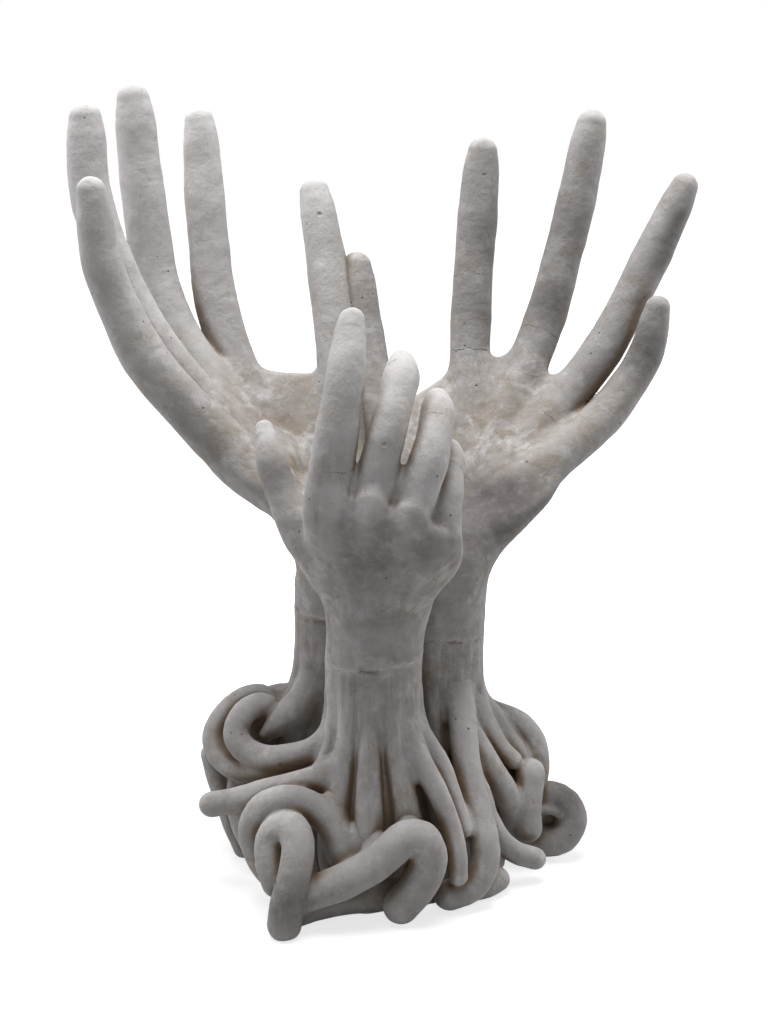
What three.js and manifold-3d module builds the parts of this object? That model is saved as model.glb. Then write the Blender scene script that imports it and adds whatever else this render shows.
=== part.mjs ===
// Plaster table sculpture: three open hands on fluted wrists that run out into coiled roots.
// Millimetres, +Z up. The origin is on the underside of the base mound, below the middle of the
// wrists. -Y faces the viewer and +X is to the viewer's right.
import * as THREE from "three";
import Module from "manifold-3d";
import { mergeVertices } from "three/addons/utils/BufferGeometryUtils.js";

const wasm = await Module();
wasm.setup();

// The size of the whole sculpture: 1 makes the hands life size. Every place and length below is in
// mm at life size, and only the clearance between the pieces is the same at every size.
const SIZE = 1;
const CLEARANCE = 0.3;
const SEAT = CLEARANCE / SIZE; // between two castings that bed on each other
const ROD_FIT = CLEARANCE / SIZE; // between a rod and its bore, all round and at each end

// Driving dimensions shared by the castings.
const ROD_RADIUS = 4; // steel armature rod across a wrist seam
const ROD_LENGTH = 46;
const WRIST = { breadth: 47, thickness: 43 }; // the oval of every wrist at its seam
const MOUND = { centre: [-2, 4], reach: 64, height: 24, crown: 0.5 };
const GROUND = { breadth: 600, depth: 60 }; // block that takes away what would lie below the ground

// Facets.
const FINGER = { sides: 8, spacing: 13 };
const ROOT = { sides: 7, spacing: 12 };
const PALM_SIDES = 16;
const FOREARM_SIDES = 28;
const MOUND_SIDES = 36;
const MOUND_STEPS = 4;
const ROD_SIDES = 12;
const WEB_STEPS = 4;

// The three arms. Places are in mm and angles in degrees. A heading is the bearing of the palm from
// the wrist, seen from above, a slope is how far the palm rises, and a roll turns it about its own
// length. Thumb side +1 puts the thumb to the left of a palm that is seen from its back.
// A finger's spread turns each bone towards the thumb and its lift bends each bone towards the palm.
// A flute is the bearing of a forearm's ridge and how far it drifts round on its way to the foot.
const ARMS = {
  front: {
    hand: {
      wrist: [-3, -30, 143], heading: 278, slope: 60, roll: 12, thumbSide: 1,
      palmLength: 57, knuckleSpan: 51, palmBreadth: 74, palmThickness: 24,
      hollow: 0.25, heel: 0, thumbAcross: 0.44, webs: [0.95, 0.85, 0.66],
      thumbWeb: { reach: 1.08, indexReach: 0.4, sag: 0.14 },
      thumb: {
        spread: [42, 45, 44], lift: [13, 46, 62],
        bones: [29, 31, 23], radii: [11.5, 9.2, 7.2, 5.2],
      },
      index: {
        spread: [0, -2, 1], lift: [22, 46, 67],
        bones: [41, 32, 26], radii: [11.6, 9.7, 8.4, 7.2],
      },
      middle: {
        spread: [-8, -18, -8], lift: [29, 67, 105],
        bones: [38, 29, 25], radii: [9.8, 8.6, 8.4, 7.2],
      },
      ring: {
        spread: [-16, -16, -12], lift: [31, 76, 108],
        bones: [32, 26, 22], radii: [9.8, 9.0, 8.0, 6.9],
      },
      little: {
        spread: [-4, -4, -2], lift: [49, 86, 109],
        bones: [23, 19, 18], radii: [8.5, 7.6, 7, 5.8],
      },
    },
    seam: { centre: [-5, -29], height: 117 },
    foot: { centre: [-3, -32], radius: 35 },
    flutes: [[200, -10], [232, -8], [263, 0], [289, 4], [314, 8], [340, 10]],
  },
  right: {
    hand: {
      wrist: [26, 12, 155], heading: 52, slope: 37, roll: 2, thumbSide: -1,
      palmLength: 79, knuckleSpan: 51, palmBreadth: 80, palmThickness: 27,
      hollow: 0.5, heel: 1, thumbAcross: 0.41, webs: [0.74, 0.7, 0.58],
      thumbWeb: { reach: 1.08, indexReach: 0.4, sag: 0.14 },
      thumb: {
        spread: [48, 31.5, 22], lift: [22, 32, 39],
        bones: [49, 53, 45], radii: [15, 12, 10.6, 8.8],
      },
      index: {
        spread: [15, 11.6, 8], lift: [31, 35, 38],
        bones: [64, 52, 43], radii: [11, 10.5, 10.4, 9.4],
      },
      middle: {
        spread: [-1.8, 1, -1.5], lift: [19, 28, 38],
        bones: [72, 61, 50], radii: [10.8, 10.4, 10.1, 9.3],
      },
      ring: {
        spread: [-12.2, -12.2, -13.6], lift: [5, 23, 28],
        bones: [69, 57, 45], radii: [10.8, 10.4, 9.7, 8.4],
      },
      little: {
        spread: [-15, -13, -10], lift: [-8, 14, 42],
        bones: [48, 37, 32], radii: [11.4, 9.8, 8.6, 7.6],
      },
    },
    seam: { centre: [27, 12], height: 118 },
    foot: { centre: [31, 13], radius: 34 },
    flutes: [[10, 8], [45, 8], [85, 6], [285, -4], [310, 2], [338, 6]],
  },
  left: {
    hand: {
      wrist: [-18, 16, 162], heading: 155, slope: 39, roll: -7, thumbSide: 1,
      palmLength: 82, knuckleSpan: 53, palmBreadth: 78, palmThickness: 28,
      hollow: 0.5, heel: 0, thumbAcross: 0.41, webs: [0.57, 0.42, 0.36],
      thumbWeb: { reach: 1.15, indexReach: 0.44, sag: 0.04 },
      thumb: {
        spread: [30, 17.5, 13], lift: [35, 35, 35],
        bones: [56, 61, 51], radii: [14, 11.8, 10.7, 9],
      },
      index: {
        spread: [7, 6, 5], lift: [26, 40, 43],
        bones: [68, 55, 44], radii: [11.4, 10.5, 10, 8.8],
      },
      middle: {
        spread: [0.8, 1.5, -1], lift: [11, 39, 44],
        bones: [74, 63, 49.5], radii: [10.9, 10.6, 10.4, 9.6],
      },
      ring: {
        spread: [-12, -8, -3], lift: [13, 27, 44],
        bones: [72, 60, 47], radii: [10, 9.6, 9.2, 8.6],
      },
      little: {
        spread: [-16, -14.5, -12.5], lift: [10, 28, 44],
        bones: [62, 48, 41], radii: [12.2, 11.3, 9.8, 8.1],
      },
    },
    seam: { centre: [-23, 17], height: 127 },
    foot: { centre: [-29, 17], radius: 34 },
    flutes: [[95, 6], [130, 4], [165, 0], [198, -4], [228, -6]],
  },
};

// How far across the palm each knuckle lies, as a share of the knuckle span.
const KNUCKLES = { index: 0.51, middle: 0.17, ring: -0.17, little: -0.49 };
const KNUCKLE_LINE = { peak: 0.2, bow: 0.36 }; // where the row of knuckles reaches furthest, and its bow
const THUMB_ROOT = { reach: 0.26, rise: 6 };
const DIGIT_ROOT = 0.35; // how far a finger runs on inside the palm, as a share of the way to the wrist
// The skin between the fingers: how thick it is, how deep its free edge sags and how it thins
// towards that edge. A hand's webs say how far it goes up the first bones, from the index's side to
// the little finger's. The skin of the thumb goes up the thumb's first bone and the index's.
const WEB = { thickness: 11, sag: 0.12, thinning: [1, 1, 0.85, 0.45] };
const THUMB_WEB_THICKNESS = 13;
// Sections of the wrist, as shares of its breadth and thickness at the seam: halfway from the seam to
// the wrist joint, and at that joint. The turn goes from upright (0) to the palm's own direction (1).
const WRIST_SECTIONS = { halfway: { size: 0.985, turn: 0.2 }, joint: { size: 1.1, turn: 0.6 } };
// Sections of the palm: how far along it, then shares of its breadth, thickness and hollow, and how
// much of the knuckle line's bow the section takes on. The heel is the part that sits on the wrist.
const PALM_SECTIONS = [
  { at: 0.22, breadth: 0.7, thickness: 1.3, hollow: 0.3, bow: 0.1, heel: true },
  { at: 0.45, breadth: 0.88, thickness: 1.1, hollow: 1, bow: 0.3 },
  { at: 0.7, breadth: 1, thickness: 1, hollow: 1, bow: 0.6 },
  { at: 0.95, breadth: 0.98, thickness: 0.8, hollow: 0.6, bow: 1 },
  { at: 1.1, breadth: 0.9, thickness: 0.55, hollow: 0, bow: 1 },
];
const PALM_END = 1.15; // where the palm closes inside the fingers, as a share of its length
const FLUTE = { rise: 6, width: 26 }; // ridge of a forearm's foot: height in mm, width in degrees
// The outline of a forearm: heights as shares of its seam's height, each with the share of the way
// out from the wrist to the foot's radius.
const FOREARM_OUTLINE = [
  [1, 0], [0.92, -0.03], [0.82, 0], [0.74, 0.08], [0.64, 0.25], [0.54, 0.48],
  [0.44, 0.7], [0.34, 0.86], [0.22, 0.88], [0.1, 0.66], [0, 0.53],
];

// The roots, each a rolled strand: places along its middle in mm, and its radius at both ends.
// They are laid in this order, and each one beds on those laid before it.
const ROOTS = {
  front_left_leg: {
    radii: [7, 7.6],
    path: [
      [-52, -73, 23], [-57, -69, 32], [-57, -66, 41], [-50, -66, 47], [-41, -70, 49],
      [-36, -76, 43], [-38, -81, 34], [-41, -85, 25], [-44, -87, 16], [-44.5, -88, 6],
    ],
  },
  front_left_loop: {
    radii: [6.6, 6.8],
    path: [
      [-17, -63, 24], [-21, -60, 36], [-27, -57, 48], [-37, -56, 56], [-48, -55, 58],
      [-58, -54, 53], [-63, -52, 43], [-63, -49, 31], [-58, -47, 19], [-51, -45, 8],
    ],
  },
  front_arch: {
    radii: [7.8, 8.8],
    path: [
      [-37, -80, 17], [-27, -80, 21], [-17, -79, 26], [-6, -77, 33], [3, -75, 40], [12, -73, 44],
      [21, -73, 42], [24, -73, 32], [20, -73, 20], [11, -73, 9],
    ],
  },
  front_ground: {
    radii: [7, 7.5],
    path: [
      [-38, -76, 6], [-28, -77, 6.5], [-17, -75, 7], [-5, -72, 8], [6, -68, 10],
    ],
  },
  left_stub: {
    radii: [6.2, 6],
    path: [
      [-18, -41, 78], [-24, -46, 66], [-38, -47, 60], [-55, -40, 53], [-70, -34, 46],
      [-84, -29, 41],
    ],
  },
  left_thick: {
    radii: [7.6, 6.5],
    path: [
      [-29, 8, 104], [-34, 3, 91], [-40, -2, 81], [-47, -6, 75], [-54, -9, 70], [-61, -12, 64],
    ],
  },
  left_inner_loop: {
    radii: [5.8, 6.2],
    path: [
      [-35, 11, 86], [-42, 8, 75], [-52, 4, 76], [-61, 0, 82], [-69, -6, 80], [-73, -11, 71],
      [-69, -17, 63], [-60, -23, 60], [-49, -29, 62], [-39, -34, 69], [-32, -38, 79],
    ],
  },
  left_outer_loop: {
    radii: [5.3, 5.3],
    path: [
      [-38, 17, 84], [-45, 17, 74], [-54, 16, 77], [-62, 14, 82], [-71, 10, 83], [-81, 5, 77],
      [-87, 1, 67], [-84, -3, 57], [-77, -8, 52],
    ],
  },
  left_slip: {
    radii: [4.2, 4],
    path: [
      [-37, 11, 94], [-43, 9, 84], [-50, 6, 77], [-58, 2, 76], [-64, -2, 72],
    ],
  },
  left_low: {
    radii: [5, 5],
    path: [
      [-87, 6, 54], [-84, 5, 41], [-80, 3, 29], [-76, 1, 17], [-71, 0, 6],
    ],
  },
  left_behind: {
    radii: [5, 5],
    path: [
      [-71, -9, 50], [-73, -10, 40], [-72, -13, 28], [-67, -16, 16], [-61, -20, 6],
    ],
  },
  right_drop: {
    radii: [6.2, 6.2],
    path: [
      [29, -3, 100], [30, -9, 87], [33, -20, 73], [38, -33, 58], [44, -44, 43], [48, -50, 32],
      [48, -53, 21], [43, -56, 11], [34, -58, 7],
    ],
  },
  front_flank: {
    radii: [5.5, 6],
    path: [
      [6, -39, 99], [10, -43, 86], [18, -50, 71], [26, -57, 57], [31, -61, 45], [34, -64, 33],
      [34, -66, 22],
    ],
  },
  front_sliver: {
    radii: [4, 4],
    path: [
      [11, -34, 96], [16, -37, 82], [25, -42, 67], [33, -49, 52], [38, -53, 39],
    ],
  },
  right_stub: {
    radii: [5.6, 5.6],
    path: [
      [35, -7, 78], [39, -16, 64], [46, -27, 50], [53, -31, 36], [60, -29, 25], [69, -27, 15],
      [77, -24, 7],
    ],
  },
  right_ground: {
    radii: [6, 6],
    path: [
      [42, -48, 6], [50, -44, 6], [58, -39, 7],
    ],
  },
  right_knob: {
    radii: [5.6, 5.8],
    path: [
      [74, -4, 48], [72, -6, 38], [70, -8, 28], [72, -9, 16],
    ],
  },
  right_curl: {
    radii: [7.2, 7.4],
    path: [
      [74, 2, 12], [82, 0, 9], [91, 0, 11], [95.5, 2, 19.5], [92.5, 4, 28.5], [84, 5, 32],
      [77, 6, 27],
    ],
  },
  right_arc: {
    radii: [5.4, 5],
    path: [
      [42, 16, 87], [48, 17, 76], [58, 16, 72], [69, 13, 68], [76, 10, 60], [78, 6, 50],
      [77, 3, 41],
    ],
  },
  right_upper: {
    radii: [4.2, 4.2],
    path: [
      [44, 10, 97], [49, 10, 84], [56, 9, 73], [62, 7, 64], [68, 5, 56], [71, 3, 49],
    ],
  },
  right_middle: {
    radii: [4.4, 4.4],
    path: [
      [41, 3, 95], [46, 1, 82], [51, -1, 71], [57, -3, 62], [64, -5, 55],
    ],
  },
  right_broad: {
    radii: [6, 6],
    path: [
      [37, -1, 89], [41, -7, 75], [48, -14, 62], [54, -17, 52], [59, -18, 42], [63, -19, 32],
    ],
  },
  back_left: {
    radii: [6.5, 6],
    path: [
      [-29, 31, 99], [-32, 37, 85], [-38, 46, 68], [-47, 55, 52], [-58, 58, 36], [-69, 53, 22],
      [-75, 42, 10], [-75, 29, 6],
    ],
  },
  back_left_loop: {
    radii: [6, 6],
    path: [
      [-36, 23, 90], [-43, 26, 79], [-52, 29, 76], [-61, 31, 71], [-69, 32, 61], [-75, 31, 49],
      [-79, 27, 37], [-80, 20, 25], [-76, 14, 13],
    ],
  },
  back_middle: {
    radii: [6.5, 6.5],
    path: [
      [-15, 30, 95], [-12, 35, 81], [-10, 47, 64], [-15, 58, 48], [-24, 67, 32], [-36, 71, 17],
      [-48, 68, 6.5],
    ],
  },
  back_right_loop: {
    radii: [6, 6.5],
    path: [
      [22, 27, 95], [21, 32, 82], [19, 44, 66], [12, 56, 52], [3, 66, 38], [2, 75, 24],
      [11, 79, 12], [24, 77, 6.5],
    ],
  },
  back_right: {
    radii: [6.5, 6],
    path: [
      [35, 24, 97], [38, 29, 84], [46, 40, 66], [53, 51, 50], [54, 60, 34], [48, 68, 20],
      [39, 70, 8],
    ],
  },
  back_curl: {
    radii: [6, 6],
    path: [
      [41, 19, 86], [48, 23, 73], [58, 27, 60], [67, 30, 47], [73, 32, 34], [80, 31, 21],
      [86, 27, 11], [86, 19, 6.5],
    ],
  },
};

const PLASTER = { color: 0xc9c4bf, roughness: 0.85, metalness: 0 };
const STEEL = { color: 0x8a7a6c, roughness: 0.6, metalness: 0.9 };

const radians = THREE.MathUtils.degToRad;
const UP = new THREE.Vector3(0, 0, 1);

/** A point given as [x, y, z]. */
function point(place) {
  return new THREE.Vector3(...place);
}

/** Reads a list of values at a share of its length, 0 to 1, going evenly from one to the next. */
function along(values, share) {
  const place = THREE.MathUtils.clamp(share, 0, 1) * (values.length - 1);
  const first = Math.min(Math.floor(place), values.length - 2);
  return THREE.MathUtils.lerp(values[first], values[first + 1], place - first);
}

/** Turns a closed three.js geometry into a solid that can be cut and joined. */
function toSolid(geometry) {
  const bare = new THREE.BufferGeometry();
  bare.setAttribute("position", geometry.getAttribute("position"));
  bare.setIndex(geometry.getIndex());
  const merged = mergeVertices(bare);
  return new wasm.Manifold(new wasm.Mesh({
    numProp: 3,
    vertProperties: new Float32Array(merged.getAttribute("position").array),
    triVerts: new Uint32Array(merged.getIndex().array),
  }));
}

/** Six times the volume that the triangles enclose, below zero when they face inward. */
function signedVolume(points, triangles) {
  let sum = 0;
  for (const [a, b, c] of triangles) {
    sum += points[a].dot(points[b].clone().cross(points[c]));
  }
  return sum;
}

/** Skins rings of equal count into a closed solid that ends on a pole at each end. */
function loft(rings, startPole, endPole) {
  const sides = rings[0].length;
  const points = [...rings.flat(), startPole, endPole];
  const start = points.length - 2;
  const end = points.length - 1;
  const last = (rings.length - 1) * sides;
  const triangles = [];
  for (let side = 0; side < sides; side += 1) {
    const next = (side + 1) % sides;
    triangles.push([start, next, side]);
    triangles.push([end, last + side, last + next]);
    for (let row = 0; row < last; row += sides) {
      triangles.push([row + side, row + next, row + sides + next]);
      triangles.push([row + side, row + sides + next, row + sides + side]);
    }
  }
  if (signedVolume(points, triangles) < 0) {
    triangles.forEach((triangle) => triangle.reverse());
  }
  const geometry = new THREE.BufferGeometry().setFromPoints(points);
  geometry.setIndex(triangles.flat());
  return toSolid(geometry);
}

/** The mean of the points of a ring. */
function middleOf(ring) {
  return ring.reduce((sum, each) => sum.add(each), new THREE.Vector3()).divideScalar(ring.length);
}

/** A round strand along a smooth curve through the points, with rounded ends. */
function strand(points, radii, facets, grow = 0) {
  const curve = new THREE.CatmullRomCurve3(points);
  const steps = Math.max(4, Math.round(curve.getLength() / facets.spacing));
  const frames = curve.computeFrenetFrames(steps, false);
  const ring = (step, radius, shift) => {
    const centre = curve.getPointAt(step / steps).addScaledVector(frames.tangents[step], shift);
    return Array.from({ length: facets.sides }, (_, side) => {
      const angle = (2 * Math.PI * side) / facets.sides;
      return centre.clone()
        .addScaledVector(frames.normals[step], radius * Math.cos(angle))
        .addScaledVector(frames.binormals[step], radius * Math.sin(angle));
    });
  };
  const radiusAt = (step) => along(radii, curve.getUtoTmapping(step / steps)) + grow;
  const shoulder = Math.SQRT1_2;
  const first = radiusAt(0);
  const final = radiusAt(steps);
  const rings = [ring(0, first * shoulder, -first * shoulder)];
  for (let step = 0; step <= steps; step += 1) {
    rings.push(ring(step, radiusAt(step), 0));
  }
  rings.push(ring(steps, final * shoulder, final * shoulder));
  const startPole = curve.getPointAt(0).addScaledVector(frames.tangents[0], -first);
  const endPole = curve.getPointAt(1).addScaledVector(frames.tangents[steps], final);
  return loft(rings, startPole, endPole);
}

/** The directions of a hand: forward along the palm, across to the thumb, and out of the palm. */
function palmAxes(hand) {
  const heading = radians(hand.heading);
  const slope = radians(hand.slope);
  const level = new THREE.Vector3(Math.cos(heading), Math.sin(heading), 0);
  const forward = level.clone().multiplyScalar(Math.cos(slope)).addScaledVector(UP, Math.sin(slope));
  const out = level.clone().multiplyScalar(-Math.sin(slope)).addScaledVector(UP, Math.cos(slope));
  const across = forward.clone().cross(out).multiplyScalar(hand.thumbSide);
  const roll = radians(hand.roll);
  return {
    forward,
    across: across.clone().multiplyScalar(Math.cos(roll)).addScaledVector(out, Math.sin(roll)),
    out: out.clone().multiplyScalar(Math.cos(roll)).addScaledVector(across, -Math.sin(roll)),
  };
}

/** How far the knuckle line reaches at a place across the palm, as a share of the palm's length. */
function knuckleReach(across) {
  return 1 - KNUCKLE_LINE.bow * (across - KNUCKLE_LINE.peak) ** 2;
}

/** The turned directions of a section of the wrist, between upright (0) and the palm's own (1). */
function turnedAxes(axes, share) {
  const upright = new THREE.Quaternion().setFromUnitVectors(axes.forward, UP);
  const turn = upright.slerp(new THREE.Quaternion(), share);
  return {
    forward: axes.forward.clone().applyQuaternion(turn),
    across: axes.across.clone().applyQuaternion(turn),
    out: axes.out.clone().applyQuaternion(turn),
  };
}

/** An oval ring of a hand: dished on its palm side, and bowed forward like the row of knuckles. */
function palmRing(centre, axes, section, grow) {
  return Array.from({ length: PALM_SIDES }, (_, side) => {
    const angle = (2 * Math.PI * side) / PALM_SIDES;
    const sideways = Math.cos(angle);
    const dish = Math.sin(angle) > 0 ? 1 - section.hollow * (1 - sideways ** 2) : 1;
    return centre.clone()
      .addScaledVector(axes.across, (section.breadth + grow) * sideways)
      .addScaledVector(axes.out, (section.thickness * dish + grow) * Math.sin(angle))
      .addScaledVector(axes.forward, section.bow * (knuckleReach(sideways / 2) - 1));
  });
}

/** The palm and wrist in one loft, from the seam to just past the knuckles, hollowed on its face. */
function palm(arm, axes, grow) {
  const { hand, seam } = arm;
  const wrist = point(hand.wrist);
  const seamCentre = new THREE.Vector3(...seam.centre, seam.height);
  const heelDrop = axes.out.clone().multiplyScalar(-hand.heel / 2);
  const onPalm = (share) => wrist.clone().addScaledVector(axes.forward, share * hand.palmLength);
  const wristOval = (size, heel) => ({
    breadth: (WRIST.breadth / 2) * size,
    thickness: (WRIST.thickness / 2) * size + heel / 2,
    hollow: 0,
    bow: 0,
  });
  const bottom = seamCentre.clone().addScaledVector(UP, SEAT / 2 - grow);
  const between = seamCentre.clone().lerp(wrist, 0.5);
  const heel = wrist.clone().add(heelDrop);
  const { halfway, joint } = WRIST_SECTIONS;
  const rings = [
    palmRing(bottom, turnedAxes(axes, 0), wristOval(1, 0), grow),
    palmRing(between, turnedAxes(axes, halfway.turn), wristOval(halfway.size, 0), grow),
    palmRing(heel, turnedAxes(axes, joint.turn), wristOval(joint.size, hand.heel), grow),
  ];
  for (const share of PALM_SECTIONS) {
    const section = {
      breadth: (hand.palmBreadth / 2) * share.breadth,
      thickness: (hand.palmThickness / 2) * share.thickness + (share.heel ? hand.heel / 2 : 0),
      hollow: hand.hollow * share.hollow,
      bow: hand.palmLength * share.bow,
    };
    const centre = share.heel ? onPalm(share.at).add(heelDrop) : onPalm(share.at);
    rings.push(palmRing(centre, axes, section, grow));
  }
  return loft(rings, bottom, onPalm(PALM_END));
}

/** The joints of a finger or thumb from its root to the middle of its rounded tip. */
function jointsOf(finger, root, axes) {
  const joints = [root];
  finger.bones.forEach((bone, index) => {
    const spread = radians(finger.spread[index]);
    const lift = radians(finger.lift[index]);
    const isTip = index === finger.bones.length - 1;
    const length = isTip ? bone - finger.radii.at(-1) : bone;
    joints.push(joints.at(-1).clone()
      .addScaledVector(axes.forward, length * Math.cos(lift) * Math.cos(spread))
      .addScaledVector(axes.across, length * Math.cos(lift) * Math.sin(spread))
      .addScaledVector(axes.out, length * Math.sin(lift)));
  });
  return joints;
}

/** The skin between two bones: a sheet from one line to the other that sags at its free edge. */
function web(one, other, axes, thickness, sag, grow) {
  const edge = WEB.thinning;
  const rings = [];
  for (let step = 0; step <= WEB_STEPS; step += 1) {
    const share = step / WEB_STEPS;
    const reach = 1 - sag * 4 * share * (1 - share) + grow / one[0].distanceTo(one[1]);
    const row = edge.map((thin, index) => {
      const out = (reach * index) / (edge.length - 1);
      const middle = one[0].clone().lerp(one[1], out).lerp(other[0].clone().lerp(other[1], out), share);
      return { middle, half: (thickness / 2) * thin + grow };
    });
    rings.push([
      ...row.map(({ middle, half }) => middle.clone().addScaledVector(axes.out, half)),
      ...row.map(({ middle, half }) => middle.clone().addScaledVector(axes.out, -half)).reverse(),
    ]);
  }
  return loft(rings, middleOf(rings[0]), middleOf(rings.at(-1)));
}

/** A whole hand casting above its wrist seam. */
function handSolid(arm, grow = 0) {
  const { hand } = arm;
  const axes = palmAxes(hand);
  const wrist = point(hand.wrist);
  const joints = {};
  for (const [name, share] of Object.entries(KNUCKLES)) {
    const knuckle = wrist.clone()
      .addScaledVector(axes.forward, knuckleReach(share) * hand.palmLength)
      .addScaledVector(axes.across, share * hand.knuckleSpan);
    joints[name] = jointsOf(hand[name], knuckle, axes);
  }
  const thumbRoot = wrist.clone()
    .addScaledVector(axes.forward, THUMB_ROOT.reach * hand.palmLength)
    .addScaledVector(axes.across, hand.thumbAcross * hand.knuckleSpan)
    .addScaledVector(axes.out, THUMB_ROOT.rise);
  joints.thumb = jointsOf(hand.thumb, thumbRoot, axes);
  let solid = palm(arm, axes, grow);
  for (const [name, places] of Object.entries(joints)) {
    const { radii } = hand[name];
    const buried = places[0].clone().lerp(wrist, DIGIT_ROOT);
    solid = solid.add(strand([buried, ...places], [radii[0], ...radii], FINGER, grow));
  }
  // A web's line on a finger starts behind the knuckle and ends where the web leaves the finger.
  const line = (name, reach) => [
    joints[name][0].clone().lerp(wrist, DIGIT_ROOT),
    joints[name][0].clone().lerp(joints[name][1], reach),
  ];
  const fingers = Object.keys(KNUCKLES);
  hand.webs.forEach((reach, index) => {
    const pair = [fingers[index], fingers[index + 1]].map((name) => line(name, reach));
    solid = solid.add(web(...pair, axes, WEB.thickness, WEB.sag, grow));
  });
  const { reach, indexReach, sag } = hand.thumbWeb;
  const [thumbLine, indexLine] = [line("thumb", reach), line("index", indexReach)];
  return solid.add(web(thumbLine, indexLine, axes, THUMB_WEB_THICKNESS, sag, grow));
}

/** The height of a flute at an angle from its crest, 1 on the crest and 0 past its foot. */
function fluteShape(angle) {
  const away = Math.abs(Math.atan2(Math.sin(angle), Math.cos(angle)));
  return Math.cos(Math.min(Math.PI / 2, (Math.PI * away) / radians(FLUTE.width)));
}

/** A forearm casting from its wrist seam to its foot, round at the wrist and fluted below. */
function forearmSolid(arm, grow = 0) {
  const { seam, foot, flutes } = arm;
  const { across } = turnedAxes(palmAxes(arm.hand), 0);
  const turn = Math.atan2(across.y, across.x);
  const top = seam.height - SEAT / 2 + grow;
  const rings = FOREARM_OUTLINE.map(([height, spread]) => {
    const out = Math.max(0, spread);
    const centre = new THREE.Vector3(
      THREE.MathUtils.lerp(seam.centre[0], foot.centre[0], out),
      THREE.MathUtils.lerp(seam.centre[1], foot.centre[1], out),
      height * top,
    );
    return Array.from({ length: FOREARM_SIDES }, (_, side) => {
      const angle = (2 * Math.PI * side) / FOREARM_SIDES;
      const aside = Math.cos(angle - turn) * WRIST.breadth;
      const ahead = Math.sin(angle - turn) * WRIST.thickness;
      const oval = Math.hypot(aside, ahead) / 2;
      const ridges = flutes.map(([bearing, drift]) => fluteShape(angle - radians(bearing + drift * out)));
      const rise = FLUTE.rise * out * Math.max(...ridges);
      const radius = THREE.MathUtils.lerp(oval, foot.radius, spread) + rise + grow;
      const offset = new THREE.Vector3(Math.cos(angle) * radius, Math.sin(angle) * radius, 0);
      return centre.clone().add(offset);
    });
  });
  return loft(rings, middleOf(rings[0]), middleOf(rings.at(-1)));
}

/** The low round mound under the roots, flat below and domed above. */
function moundSolid(grow = 0) {
  const { centre, height, crown } = MOUND;
  const reach = MOUND.reach + grow;
  const outline = [[0, -grow], [reach, -grow], [reach, grow]];
  for (let step = 1; step <= MOUND_STEPS; step += 1) {
    const angle = (Math.PI / 2) * (step / MOUND_STEPS);
    const out = reach * (crown + (1 - crown) * Math.cos(angle));
    outline.push([out, height * Math.sin(angle) + grow]);
  }
  outline.push([0, height + grow]);
  const corners = outline.map(([out, up]) => new THREE.Vector2(out, up));
  const geometry = new THREE.LatheGeometry(corners, MOUND_SIDES);
  geometry.rotateX(Math.PI / 2);
  geometry.translate(...centre, 0);
  return toSolid(geometry);
}

/** The wrist rod of a seam, half in the hand above and half in the forearm below. */
function rodGeometry(seam, grow = 0) {
  const radius = ROD_RADIUS + grow;
  const geometry = new THREE.CylinderGeometry(radius, radius, ROD_LENGTH + 2 * grow, ROD_SIDES);
  geometry.rotateX(Math.PI / 2);
  geometry.translate(...seam.centre, seam.height);
  return geometry;
}

/** The blind bores of a wrist rod in the hand and in the forearm. */
function rodBore(seam) {
  return toSolid(rodGeometry(seam, ROD_FIT));
}

/** Whether the boxes round two solids meet. */
function boxesMeet(one, other) {
  const a = one.boundingBox();
  const b = other.boundingBox();
  return [0, 1, 2].every((axis) => a.min[axis] <= b.max[axis] && b.min[axis] <= a.max[axis]);
}

/** The largest body of a solid, without the crumbs that a cut leaves. */
function mainBody(solid) {
  return solid.decompose().reduce((best, body) => (body.volume() > best.volume() ? body : best));
}

/** The geometry of a solid. */
function toGeometry(solid) {
  const { vertProperties, triVerts } = solid.getMesh();
  const geometry = new THREE.BufferGeometry();
  geometry.setAttribute("position", new THREE.Float32BufferAttribute(vertProperties, 3));
  geometry.setIndex(Array.from(triVerts));
  geometry.computeVertexNormals();
  return geometry;
}

/** A finished mesh, brought from life size to the size of the sculpture. */
function toMesh(name, geometry, look) {
  geometry.scale(SIZE, SIZE, SIZE);
  const mesh = new THREE.Mesh(geometry, new THREE.MeshStandardMaterial(look));
  mesh.name = name;
  return mesh;
}

const sculpture = new THREE.Group();
const laid = [];

/** Adds a casting that beds on everything laid before it, and keeps its grown form for the next. */
function lay(name, solid, grown, cuts = []) {
  let seated = solid;
  for (const block of [...laid.filter((each) => boxesMeet(each, solid)), ...cuts]) {
    seated = seated.subtract(block);
  }
  laid.push(grown);
  sculpture.add(toMesh(name, toGeometry(mainBody(seated)), PLASTER));
}

const groundBox = new THREE.BoxGeometry(GROUND.breadth, GROUND.breadth, GROUND.depth);
groundBox.translate(0, 0, -GROUND.depth / 2);
const ground = toSolid(groundBox);

lay("base_mound", moundSolid(), moundSolid(SEAT));
for (const [name, arm] of Object.entries(ARMS)) {
  lay(`${name}_forearm`, forearmSolid(arm), forearmSolid(arm, SEAT), [ground, rodBore(arm.seam)]);
}
for (const [name, arm] of Object.entries(ARMS)) {
  lay(`${name}_hand`, handSolid(arm), handSolid(arm, SEAT), [rodBore(arm.seam)]);
}
for (const [name, root] of Object.entries(ROOTS)) {
  const places = root.path.map(point);
  const grown = strand(places, root.radii, ROOT, SEAT);
  lay(`root_${name}`, strand(places, root.radii, ROOT), grown, [ground]);
}
for (const [name, arm] of Object.entries(ARMS)) {
  sculpture.add(toMesh(`${name}_wrist_rod`, rodGeometry(arm.seam), STEEL));
}

export default sculpture;
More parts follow.
